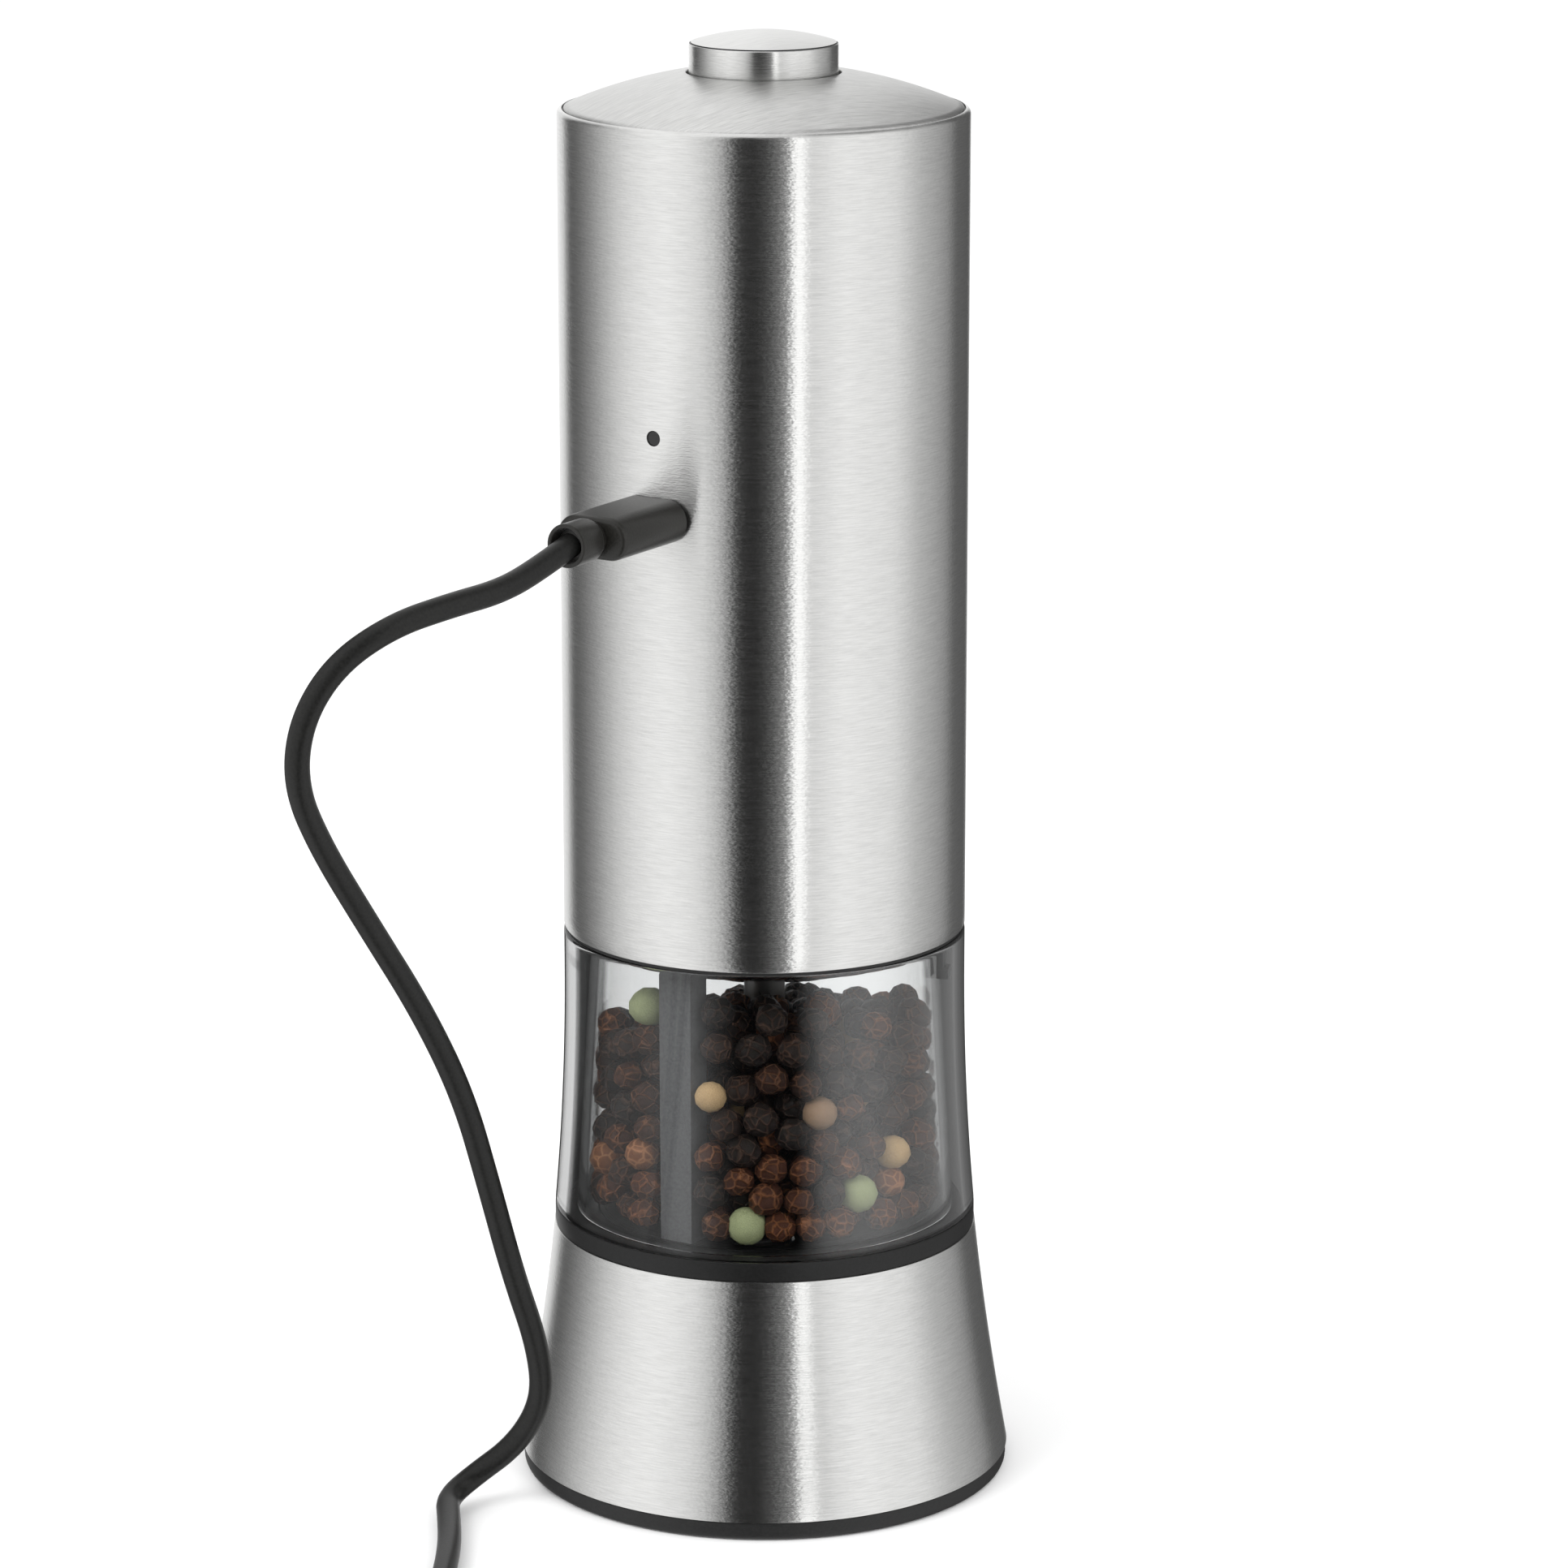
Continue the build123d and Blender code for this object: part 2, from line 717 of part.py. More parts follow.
# Head sleeve: deep drawn steel with a domed top, a button hole, a port slot and a lamp hole
hole_radius = button_radius + 2 * slide_gap
hole_level = dome_level(hole_radius)
dome_bore = dome_rim - steel_wall
crown_radius = (hole_radius + dome_rim) / 2
with BuildPart() as head_sleeve:
    with BuildSketch(Plane.XZ):
        with BuildLine():
            Polyline((hole_radius, hole_level - steel_wall), (hole_radius, hole_level))
            outer_dome = ThreePointArc(
                (hole_radius, hole_level), (crown_radius, dome_level(crown_radius)), (dome_rim, shoulder)
            )
            outer_round = TangentArc(
                (dome_rim, shoulder), (body_radius, shoulder - shoulder_round), tangent=(1, 0)
            )
            Polyline(outer_round @ 1, (body_radius, seam), (sleeve_bore, seam), (sleeve_bore, shoulder - steel_wall))
            ThreePointArc(
                (sleeve_bore, shoulder - steel_wall),
                (crown_radius, dome_level(crown_radius) - steel_wall),
                (hole_radius, hole_level - steel_wall),
            )
        make_face()
    revolve(axis=Axis.Z)
    with BuildSketch(port_plane(sleeve_bore - steel_wall)):
        SlotOverall(port_width + 4 * slide_gap, port_thickness + 4 * slide_gap)
        with Locations((0, lamp_rise)):
            Circle(lamp_radius)
    extrude(amount=4 * steel_wall, mode=Mode.SUBTRACT)
save(head_sleeve, "head_sleeve")

# Head plate: floor of the head, with the bayonet hooks, the socket's hole and counterbored screw holes
plate_radius = sleeve_bore - seat_gap
ring_pitch = module_size * (sun_teeth + 2 * planet_teeth) / 2
ring_root = ring_pitch + dedendum_share * module_size
gear_radius = ring_root + gear_shell
ear_radius = gear_radius + screw_radius + hub_wall / 2
boss_hole = output_boss + free_gap
screw_seat = seam + screw_head_height
with BuildPart() as head_plate_part:
    extrude(ring_face(boss_hole, plate_radius, seam), amount=head_plate)
    hook_middle = hook_inner + hook_wall / 2
    with BuildSketch(Plane.XY.offset(hook_foot)):
        with PolarLocations(hook_middle, hook_count, start_angle=hook_angle):
            Rectangle(hook_wall, hook_width)
    extrude(amount=hook_depth + head_plate / 2)
    nose_middle = (hook_inner + nose_outer) / 2
    with BuildSketch(Plane.XY.offset(hook_foot)):
        with PolarLocations(nose_middle, hook_count, start_angle=hook_angle):
            Rectangle(nose_outer - hook_inner, hook_width)
    extrude(amount=nose_height)
    with Locations(Plane.XY.offset(seam)):
        with PolarLocations(ear_radius, screw_count, start_angle=90):
            Cylinder(
                screw_head + seat_gap, screw_head_height, mode=Mode.SUBTRACT,
                align=(Align.CENTER, Align.CENTER, Align.MIN),
            )
            Cylinder(
                screw_radius + seat_gap, head_plate, mode=Mode.SUBTRACT,
                align=(Align.CENTER, Align.CENTER, Align.MIN),
            )
save(head_plate_part, "head_plate")

# Gearbox case: fixed ring gear with a floor and three ears
ear_height = screw_length - head_plate + screw_head_height + free_gap
with BuildPart() as gearbox_case:
    with BuildSketch(Plane.XY.offset(plate_top)):
        Circle(gear_radius)
    extrude(amount=gear_top - plate_top)
    with BuildSketch(Plane.XY.offset(plate_top)):
        with PolarLocations(ear_radius, screw_count, start_angle=90):
            Circle(screw_radius + hub_wall)
    extrude(amount=ear_height)
    with BuildSketch(Plane.XY.offset(gear_floor_top)):
        Polygon(
            *gear_points(
                sun_teeth + 2 * planet_teeth,
                ring_root,
                ring_pitch - addendum_share * module_size,
                -backlash,
                turn=180 / (sun_teeth + 2 * planet_teeth),
            ),
            align=None,
        )
    extrude(amount=gear_top - gear_floor_top, mode=Mode.SUBTRACT)
    with BuildSketch(Plane.XY.offset(plate_top)):
        Circle(boss_hole)
        with PolarLocations(ear_radius, screw_count, start_angle=90):
            Circle(screw_radius + press_gap)
    extrude(amount=ear_height - free_gap, mode=Mode.SUBTRACT)
save(gearbox_case, "gearbox_case")

with BuildPart() as head_screws:
    with BuildSketch(Plane.XY.offset(seam + free_gap)):
        with PolarLocations(ear_radius, screw_count, start_angle=90):
            Circle(screw_head)
    extrude(amount=screw_head_height - free_gap)
    with BuildSketch(Plane.XY.offset(screw_seat)):
        with PolarLocations(ear_radius, screw_count, start_angle=90):
            Circle(screw_radius)
    extrude(amount=screw_length - free_gap)
save(head_screws, "head_screws")

# Planet carrier: plate with pins, and the output boss with its square socket
orbit_radius = module_size * (sun_teeth + planet_teeth) / 2
carrier_level = gear_floor_top + free_gap
planet_level = carrier_level + carrier_plate + free_gap
with BuildPart() as planet_carrier:
    with BuildSketch(Plane.XY.offset(carrier_level)):
        Circle(carrier_rim)
    extrude(amount=carrier_plate)
    with BuildSketch(Plane.XY.offset(seam + free_gap)):
        Circle(output_boss)
    extrude(amount=carrier_level - seam - free_gap)
    with BuildSketch(Plane.XY.offset(seam + free_gap)):
        Rectangle(shaft_square + 2 * seat_gap, shaft_square + 2 * seat_gap)
    extrude(amount=shaft_engagement, mode=Mode.SUBTRACT)
    with BuildSketch(Plane.XY.offset(carrier_level + carrier_plate)):
        with PolarLocations(orbit_radius, planet_count):
            Circle(planet_pin)
    extrude(amount=gear_face + 3 * free_gap)
save(planet_carrier, "planet_carrier")

# Planet gears, each with a gap on the ring's side and a tooth on the sun's side
planet_pitch = module_size * planet_teeth / 2
planet_tip = planet_pitch + addendum_share * module_size
planet_root = planet_pitch - dedendum_share * module_size
for number in range(planet_count):
    place = 360 / planet_count * number
    centre = Vector(orbit_radius, 0, planet_level).rotate(Axis.Z, place)
    with BuildPart() as planet:
        with BuildSketch(Plane(origin=centre, x_dir=Vector(1, 0, 0).rotate(Axis.Z, place))):
            Polygon(
                *gear_points(planet_teeth, planet_tip, planet_root, backlash, turn=180 / planet_teeth), align=None
            )
            Circle(planet_pin + journal_gap, mode=Mode.SUBTRACT)
        extrude(amount=gear_face)
    save(planet, f"planet_gear_{number + 1}")

# Sun gear and the motor's shaft
sun_pitch = module_size * sun_teeth / 2
with BuildPart() as sun_gear:
    with BuildSketch(Plane.XY.offset(planet_level)):
        Polygon(
            *gear_points(
                sun_teeth,
                sun_pitch + addendum_share * module_size,
                sun_pitch - dedendum_share * module_size,
                backlash,
                turn=180 / sun_teeth,
            ),
            align=None,
        )
        Circle(motor_shaft + press_gap, mode=Mode.SUBTRACT)
    extrude(amount=gear_face)
save(sun_gear, "sun_gear")

with BuildPart() as rotor_shaft:
    with BuildSketch(Plane.XY.offset(planet_level)):
        Circle(motor_shaft)
    extrude(amount=motor_top - planet_level - free_gap)
save(rotor_shaft, "motor_shaft")

# Gearbox lid, motor can with its nose in the lid, motor cap and motor screws
screw_circle = motor_radius * 0.6
with BuildPart() as gearbox_lid:
    extrude(ring_face(motor_nose + seat_gap, gear_radius, gear_top), amount=gear_lid)
    with BuildSketch(Plane.XY.offset(gear_top)):
        with PolarLocations(screw_circle, 2, start_angle=90):
            Circle(screw_radius + seat_gap)
    extrude(amount=gear_lid, mode=Mode.SUBTRACT)
save(gearbox_lid, "gearbox_lid")

with BuildPart() as motor_can:
    with BuildSketch(Plane.XY.offset(lid_top)):
        Circle(motor_radius)
    extrude(amount=motor_length)
    chamfer(motor_can.edges().group_by(Axis.Z)[0], 1.0)
    with BuildSketch(Plane.XY.offset(lid_top)):
        Circle(motor_nose)
    extrude(amount=-gear_lid)
    with BuildSketch(Plane.XY.offset(lid_top - gear_lid)):
        Circle(motor_shaft + journal_gap)
    extrude(amount=gear_lid + motor_length, mode=Mode.SUBTRACT)
    with BuildSketch(Plane.XY.offset(lid_top)):
        with PolarLocations(screw_circle, 2, start_angle=90):
            Circle(screw_radius + press_gap)
    extrude(amount=screw_length / 2, mode=Mode.SUBTRACT)
save(motor_can, "motor_can")

with BuildPart() as motor_screws:
    with BuildSketch(Plane.XY.offset(gear_top)):
        with PolarLocations(screw_circle, 2, start_angle=90):
            Circle(screw_head)
    extrude(amount=-screw_head_height)
    with BuildSketch(Plane.XY.offset(gear_top)):
        with PolarLocations(screw_circle, 2, start_angle=90):
            Circle(screw_radius)
    extrude(amount=gear_lid + screw_length / 2 - free_gap)
save(motor_screws, "motor_screws")

with BuildPart() as motor_cap:
    with BuildSketch(Plane.XY.offset(motor_top)):
        Circle(motor_radius - seat_gap)
    extrude(amount=motor_cap_length)
    chamfer(motor_cap.edges().group_by(Axis.Z)[-1], 0.8)
save(motor_cap, "motor_cap")

# Inner frame: shelf on the motor, two side walls for the cell and two grooved posts for the board
board_outer = sleeve_bore - seat_gap - port_length
board_inner = board_outer - board_thickness
wall_offset = battery_radius + free_gap + frame_wall / 2
post_depth = board_thickness + 2 * frame_wall
with BuildPart() as inner_frame:
    with BuildSketch(Plane.XY.offset(shelf_floor)):
        Circle(plate_radius)
    extrude(amount=shelf_height)
    with BuildSketch(Plane.XY.offset(shelf_top)):
        with Locations((-wall_offset, battery_shift), (wall_offset, battery_shift)):
            Rectangle(frame_wall, 2 * battery_radius)
    extrude(amount=guide_floor - shelf_top)
    with BuildSketch(Plane.XY.offset(shelf_top)):
        for side in (-1, 1):
            with Locations((side * board_width / 2, -(board_inner + board_outer) / 2)):
                Rectangle(2 * frame_wall, post_depth)
    extrude(amount=board_height)
    with BuildSketch(Plane.XY.offset(shelf_top)):
        with Locations((0, -(board_inner + board_outer) / 2)):
            Rectangle(board_width + 2 * seat_gap, board_thickness + 2 * seat_gap)
    extrude(amount=board_height, mode=Mode.SUBTRACT)
save(inner_frame, "inner_frame")

with BuildPart() as battery_cell:
    with Locations((0, battery_shift, cell_floor)):
        Cylinder(battery_radius, battery_length, align=(Align.CENTER, Align.CENTER, Align.MIN))
    chamfer(battery_cell.edges().filter_by(GeomType.CIRCLE), 0.6)
save(battery_cell, "battery_cell")

with BuildPart() as battery_tabs:
    for level in (shelf_top, cell_top):
        with BuildSketch(Plane.XY.offset(level)):
            with Locations((0, battery_shift)):
                Rectangle(battery_radius, battery_radius / 2)
        extrude(amount=tab_thickness)
save(battery_tabs, "battery_tabs")

# Charging board with its socket, tongue and indicator light pipe
with BuildPart() as charge_board:
    with BuildSketch(port_plane(board_inner)):
        with Locations((0, shelf_top + board_height / 2 - port_height)):
            Rectangle(board_width, board_height)
    extrude(amount=board_thickness)
save(charge_board, "charge_board")

with BuildPart() as port_shell:
    with BuildSketch(port_plane(board_outer)):
        SlotOverall(port_width, port_thickness)
        SlotOverall(port_width - 2 * port_wall, port_thickness - 2 * port_wall, mode=Mode.SUBTRACT)
    extrude(amount=port_length)
save(port_shell, "port_shell")

with BuildPart() as port_tongue:
    with BuildSketch(port_plane(board_outer)):
        Rectangle(tongue_width, tongue_thickness)
    extrude(amount=tongue_length)
save(port_tongue, "port_tongue")

with BuildPart() as charge_lamp:
    with BuildSketch(port_plane(board_outer)):
        with Locations((0, lamp_rise)):
            Circle(lamp_radius - seat_gap)
    extrude(amount=body_radius - board_outer - slide_gap)
save(charge_lamp, "charge_lamp")

# Button guide: plate under the dome with a tube round the button
guide_top = guide_floor + guide_plate
guide_inner = button_radius + slide_gap
guide_outer = guide_inner + guide_wall
with BuildPart() as button_guide:
    with BuildSketch(Plane.XY.offset(guide_floor)):
        Circle(plate_radius)
    extrude(amount=guide_plate)
    tube_top = dome_level(guide_outer) - steel_wall - free_gap
    extrude(ring_face(guide_inner, guide_outer, guide_top), amount=tube_top - guide_top)
save(button_guide, "button_guide")

# Switch body with a bore for the button's stem
switch_top = guide_top + switch_height
with BuildPart() as switch_body:
    with BuildSketch(Plane.XY.offset(guide_top)):
        RectangleRounded(switch_width, switch_width, 1.0)
    extrude(amount=switch_height)
    with BuildSketch(Plane.XY.offset(switch_top)):
        Circle(stem_radius + seat_gap)
    extrude(amount=-(stem_reach + button_travel + free_gap), mode=Mode.SUBTRACT)
save(switch_body, "switch_body")

# Button: steel cap, plunger inside it, and the return spring round the stem
button_shoulder = hole_level + button_stand
button_foot = guide_top + button_travel + 3 * free_gap
cap_rim = button_radius - button_round
cap_sphere = (cap_rim**2 + button_crown**2) / (2 * button_crown)
cap_bore = button_radius - cap_wall
cap_mid = cap_rim / 2
crown_drop = cap_sphere - sqrt(cap_sphere**2 - cap_mid**2)
button_top = button_shoulder + button_crown
with BuildPart() as button_cap:
    with BuildSketch(Plane.XZ):
        with BuildLine():
            crown = ThreePointArc(
                (0, button_top), (cap_mid, button_top - crown_drop), (cap_rim, button_shoulder)
            )
            edge = TangentArc(crown @ 1, (button_radius, button_shoulder - button_round), tangent=crown % 1)
            Polyline(
                edge @ 1,
                (button_radius, button_foot),
                (cap_bore, button_foot),
                (cap_bore, button_shoulder - button_round),
                (0, button_shoulder - button_round),
                crown @ 0,
            )
        make_face()
    revolve(axis=Axis.Z)
save(button_cap, "button_cap")

plunger_top = button_shoulder - button_round
plunger_plate = 1.8
plunger_floor = plunger_top - plunger_plate
with BuildPart() as button_plunger:
    with BuildSketch(Plane.XY.offset(plunger_floor)):
        Circle(cap_bore - seat_gap)
    extrude(amount=plunger_plate)
    with BuildSketch(Plane.XY.offset(plunger_floor)):
        Circle(stem_radius)
    extrude(amount=-(plunger_floor - switch_top + stem_reach))
save(button_plunger, "button_plunger")

button_spring_length = plunger_floor - switch_top - button_wire
with BuildPart() as button_spring:
    with BuildLine():
        coil = Helix(
            button_spring_length / button_turns,
            button_spring_length,
            button_coil_radius,
            center=(0, 0, switch_top + button_wire / 2),
        )
    with BuildSketch(Plane(origin=coil @ 0, z_dir=coil % 0)):
        RegularPolygon(button_wire / 2, 6)
    sweep(path=coil)
save(button_spring, "button_spring")

# Charging plug: steel nose, moulded grip and strain relief, along the port's axis
plug_face = body_radius + slide_gap
plug_back = plug_face + plug_length
with BuildPart() as plug_nose:
    with BuildSketch(port_plane(plug_face)):
        SlotOverall(plug_shell_width, plug_shell_thickness)
        SlotOverall(
            plug_shell_width - 2 * plug_shell_wall, plug_shell_thickness - 2 * plug_shell_wall, mode=Mode.SUBTRACT
        )
    extrude(amount=-plug_shell_length)
save(plug_nose, "plug_nose")

with BuildPart() as plug_grip:
    with BuildSketch(port_plane(plug_face)):
        SlotOverall(plug_width, plug_thickness)
    extrude(amount=plug_length)
    fillet(plug_grip.edges().group_by(Axis.Y)[0], plug_round)
save(plug_grip, "plug_grip")

relief_end = plug_back + relief_neck + relief_collar
recess_radius = cord_radius + slide_gap * 4
with BuildPart() as plug_relief:
    with BuildSketch(Plane(origin=(0, 0, port_height), x_dir=(1, 0, 0), z_dir=(0, 0, 1))):
        with BuildLine():
            Polyline(
                (0, -plug_back),
                (relief_neck_radius, -plug_back),
                (relief_neck_radius, -plug_back - relief_neck),
                (relief_radius, -plug_back - relief_neck),
                (relief_radius, -relief_end),
                (recess_radius, -relief_end),
                (recess_radius, -relief_end + relief_recess),
                (0, -relief_end + relief_recess),
                close=True,
            )
        make_face()
    revolve(axis=Axis((0, 0, port_height), (0, 1, 0)))
save(plug_relief, "plug_relief")

# Coil of the lead's spare length, beside the lead's run on the table
coil_half = 2 * cord_radius + seat_gap
coil_outer = coil_mid_radius + coil_half
coil_centre = (coil_side, -relief_end - coil_reach)


def lead_point(side, reach, rise):
    """Point of the lead: sideways, outwards from the relief's end, and up as a share of the port's height."""
    return (side, -relief_end - reach, cord_radius + rise * (port_height - cord_radius))


# Route of the lead from the relief to its coil, then from the coil to the outlet plug
lead_route = [
    (0, -relief_end + relief_recess - 2 * free_gap, port_height),
    lead_point(-0.5, 6.7, 0.9841),
    lead_point(-1.3, 14.1, 0.9737),
    lead_point(-3.0, 22.7, 0.971),
    lead_point(-6.4, 31.7, 0.9606),
    lead_point(-11.0, 38.1, 0.9288),
    lead_point(-14.6, 41, 0.8769),
    lead_point(-16.3, 40.3, 0.8147),
    lead_point(-16.4, 34.6, 0.7476),
    lead_point(-14.7, 26.6, 0.6625),
    lead_point(-12.4, 17.6, 0.5657),
    lead_point(-11.4, 9.6, 0.4689),
    lead_point(-11.9, 2.9, 0.3651),
    lead_point(-12.4, -3.3, 0.2649),
    lead_point(-12.2, -9.3, 0.175),
    lead_point(-14.0, -13, 0.1093),
    lead_point(-19.3, -13.9, 0.0533),
    lead_point(-25.2, -11.3, 0.0173),
    lead_point(-26.3, -6.3, 0.0035),
    lead_point(-22.4, -1.1, 0.0007),
    lead_point(-17.1, 6.3, 0),
    lead_point(-12.0, 14.7, 0.0003),
    lead_point(-6.0, 25.7, 0),
    (coil_side - coil_outer - cord_radius - lead_gap, -relief_end - coil_reach - 0.7, cord_radius + lead_gap),
]
outlet_run = Vector(cos(radians(coil_angle - 180)), sin(radians(coil_angle - 180)), 0)
tail_radius = coil_outer + cord_radius + seat_gap
tail_start = Vector(
    coil_centre[0] + tail_radius * cos(radians(tail_angle)),
    coil_centre[1] + tail_radius * sin(radians(tail_angle)),
    outlet_plug_thickness / 2 + 1.0,
)
tail_knee = tail_start + Vector(5.5, 3.3, -1.0)
tail_route = [tuple(tail_start), tuple(tail_knee), tuple(tail_knee + outlet_run * 6.4)]


def corner_radii(route):
    """Largest comfortable arc at each corner of a route."""
    radii = []
    for before, point, after in zip(route, route[1:], route[2:]):
        arriving = Vector(point) - Vector(before)
        leaving = Vector(after) - Vector(point)
        half_turn = radians(arriving.get_angle(leaving)) / 2
        radii.append(0.45 * min(arriving.length, leaving.length) / tan(half_turn))
    return radii


lead_radii = corner_radii(lead_route)
with BuildPart() as cord_lead:
    with BuildLine() as lead_path:
        FilletPolyline(*lead_route, radius=lead_radii)
    with BuildSketch(Plane(origin=lead_path.line @ 0, z_dir=lead_path.line % 0)):
        Circle(cord_radius)
    sweep(path=lead_path.line)
save(cord_lead, "cord_lead")

tail_radii = corner_radii(tail_route)
with BuildPart() as cord_tail:
    with BuildLine() as tail_path:
        FilletPolyline(*tail_route, radius=tail_radii)
    with BuildSketch(Plane(origin=tail_path.line @ 0, z_dir=tail_path.line % 0)):
        Circle(cord_radius)
    sweep(path=tail_path.line)
save(cord_tail, "cord_tail")

# Coil solid: two turns side by side and the end on top
coil_floor = tie_thickness
coil_level = coil_floor + 2 * cord_radius
coil_top = coil_level + cord_radius * sqrt(3)
with BuildPart() as cord_coil:
    with BuildSketch(Plane(origin=(*coil_centre, 0), x_dir=(1, 0, 0), z_dir=(0, -1, 0))):
        with BuildLine():
            Polyline(
                (coil_mid_radius - coil_half, coil_floor),
                (coil_mid_radius + coil_half, coil_floor),
                (coil_mid_radius + coil_half, coil_level),
                (coil_mid_radius + cord_radius, coil_top),
                (coil_mid_radius - cord_radius, coil_top),
                (coil_mid_radius - coil_half, coil_level),
                close=True,
            )
        make_face()
    revolve(axis=Axis((*coil_centre, 0), (0, 0, 1)))
save(cord_coil, "cord_coil")

# Tie: flat strap round the coil's section
tie_place = coil_angle + 160
tie_plane = Plane(
    origin=(
        coil_centre[0] + coil_mid_radius * cos(radians(tie_place)),
        coil_centre[1] + coil_mid_radius * sin(radians(tie_place)),
        0,
    ),
    x_dir=(cos(radians(tie_place)), sin(radians(tie_place)), 0),
    z_dir=(sin(radians(tie_place)), -cos(radians(tie_place)), 0),
)
tie_slack = coil_mid_radius + coil_half - sqrt((coil_mid_radius + coil_half) ** 2 - (tie_width / 2) ** 2)
tie_inner = 2 * coil_half + 2 * tie_slack + 2 * free_gap
tie_room = coil_top - tie_thickness + free_gap
with BuildPart() as coil_tie:
    with BuildSketch(tie_plane):
        with Locations((0, tie_thickness + tie_room / 2)):
            Rectangle(tie_inner + 2 * tie_thickness, tie_room + 2 * tie_thickness)
            Rectangle(tie_inner, tie_room, mode=Mode.SUBTRACT)
    extrude(amount=tie_width / 2, both=True)
save(coil_tie, "coil_tie")

# Outlet plug at the lead's far end, lying flat on the table
outlet_start = Vector(*tail_route[-1])
outlet_side = Vector(outlet_run.Y, -outlet_run.X, 0)


def outlet_plane(distance):
    """Plane across the outlet plug's axis."""
    return Plane(origin=outlet_start + outlet_run * distance, x_dir=outlet_side, z_dir=outlet_run)


with BuildPart() as outlet_grip:
    with BuildSketch(outlet_plane(0)):
        Circle(cord_radius + 0.5)
    with BuildSketch(outlet_plane(outlet_relief_length)):
        Circle(cord_radius + 1.4)
    loft()
    with BuildSketch(outlet_plane(outlet_relief_length)):
        RectangleRounded(outlet_plug_width, outlet_plug_thickness, 2.0)
    extrude(amount=outlet_plug_length)
save(outlet_grip, "outlet_grip")

with BuildPart() as outlet_shell:
    with BuildSketch(outlet_plane(outlet_relief_length + outlet_plug_length)):
        RectangleRounded(outlet_shell_width, outlet_shell_thickness, 0.6)
        Rectangle(
            outlet_shell_width - 2 * outlet_shell_wall,
            outlet_shell_thickness / 2 - outlet_shell_wall,
            align=(Align.CENTER, Align.MIN),
            mode=Mode.SUBTRACT,
        )
    extrude(amount=outlet_shell_length)
save(outlet_shell, "outlet_shell")
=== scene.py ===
import json
import math
from itertools import combinations
from random import Random

import bmesh
import bpy
import numpy as np
from mathutils import Matrix, Vector


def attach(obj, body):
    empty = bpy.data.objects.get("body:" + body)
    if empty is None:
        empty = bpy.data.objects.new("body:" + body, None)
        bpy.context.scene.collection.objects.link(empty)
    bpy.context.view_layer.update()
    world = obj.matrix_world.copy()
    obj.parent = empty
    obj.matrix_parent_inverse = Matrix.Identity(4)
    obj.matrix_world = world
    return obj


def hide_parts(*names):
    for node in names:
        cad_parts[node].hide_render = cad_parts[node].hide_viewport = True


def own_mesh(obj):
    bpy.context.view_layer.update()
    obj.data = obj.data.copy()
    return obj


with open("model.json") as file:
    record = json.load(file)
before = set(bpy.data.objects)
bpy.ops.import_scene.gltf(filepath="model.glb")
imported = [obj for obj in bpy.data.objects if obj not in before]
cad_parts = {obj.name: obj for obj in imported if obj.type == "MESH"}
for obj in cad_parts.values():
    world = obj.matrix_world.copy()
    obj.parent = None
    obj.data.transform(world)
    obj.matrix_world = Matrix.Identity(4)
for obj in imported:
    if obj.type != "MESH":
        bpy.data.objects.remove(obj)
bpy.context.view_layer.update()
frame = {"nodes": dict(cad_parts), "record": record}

MM = 0.001
scene = bpy.context.scene


# Camera: 31.5 degrees to the right of the port, looking 14.2 degrees down

TURN = math.radians(31.5)
PITCH, DISTANCE, ASIDE, EYE_HEIGHT = 14.164, 0.802, 0.00283, 0.3047
RIGHT = Vector((math.cos(TURN), math.sin(TURN), 0))
TOWARDS = Vector((math.sin(TURN), -math.cos(TURN), 0))

lens = bpy.data.cameras.new("camera")
lens.sensor_width = 36.0
lens.lens = 131.87
lens.clip_start = 0.02
camera = bpy.data.objects.new("camera", lens)
camera.location = TOWARDS * DISTANCE + RIGHT * ASIDE + Vector((0, 0, EYE_HEIGHT))
camera.rotation_euler = (math.radians(90 - PITCH), 0, TURN)
scene.collection.objects.link(camera)
scene.camera = camera


# Mesh helpers

def arc(centre, radius, start, end, steps):
    """Points of a circular arc in a half section, angles in degrees."""
    points = []
    for i in range(steps + 1):
        a = math.radians(start + (end - start) * i / steps)
        points.append((centre[0] + radius * math.cos(a), centre[1] + radius * math.sin(a)))
    return points


def rounded(points, radius, steps=3):
    """Closed half section with each corner rounded; radius is one number or one per corner."""
    out = []
    count = len(points)
    for i, p in enumerate(points):
        r = radius[i] if isinstance(radius, (list, tuple)) else radius
        p = Vector(p)
        back = Vector(points[i - 1]) - p
        ahead = Vector(points[(i + 1) % count]) - p
        if r <= 0:
            out.append(tuple(p))
            continue
        r = min(r, 0.45 * back.length, 0.45 * ahead.length)
        a = p + back.normalized() * r
        b = p + ahead.normalized() * r
        for k in range(steps + 1):
            t = k / steps
            out.append(tuple((1 - t) ** 2 * a + 2 * t * (1 - t) * p + t ** 2 * b))
    return out


def finish_mesh(bm, name, body, material, sharp=40.0):
    """Turns a bmesh into an object that rides a body, with sharp edges above an angle."""
    bmesh.ops.remove_doubles(bm, verts=bm.verts, dist=1e-7)
    bmesh.ops.recalc_face_normals(bm, faces=bm.faces)
    for face in bm.faces:
        face.smooth = True
    for edge in bm.edges:
        if len(edge.link_faces) == 2 and edge.calc_face_angle() > math.radians(sharp):
            edge.smooth = False
    mesh = bpy.data.meshes.new(name)
    bm.to_mesh(mesh)
    bm.free()
    obj = bpy.data.objects.new(name, mesh)
    for m in material if isinstance(material, (list, tuple)) else [material]:
        mesh.materials.append(m)
    scene.collection.objects.link(obj)
    if body:
        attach(obj, body)
    return obj


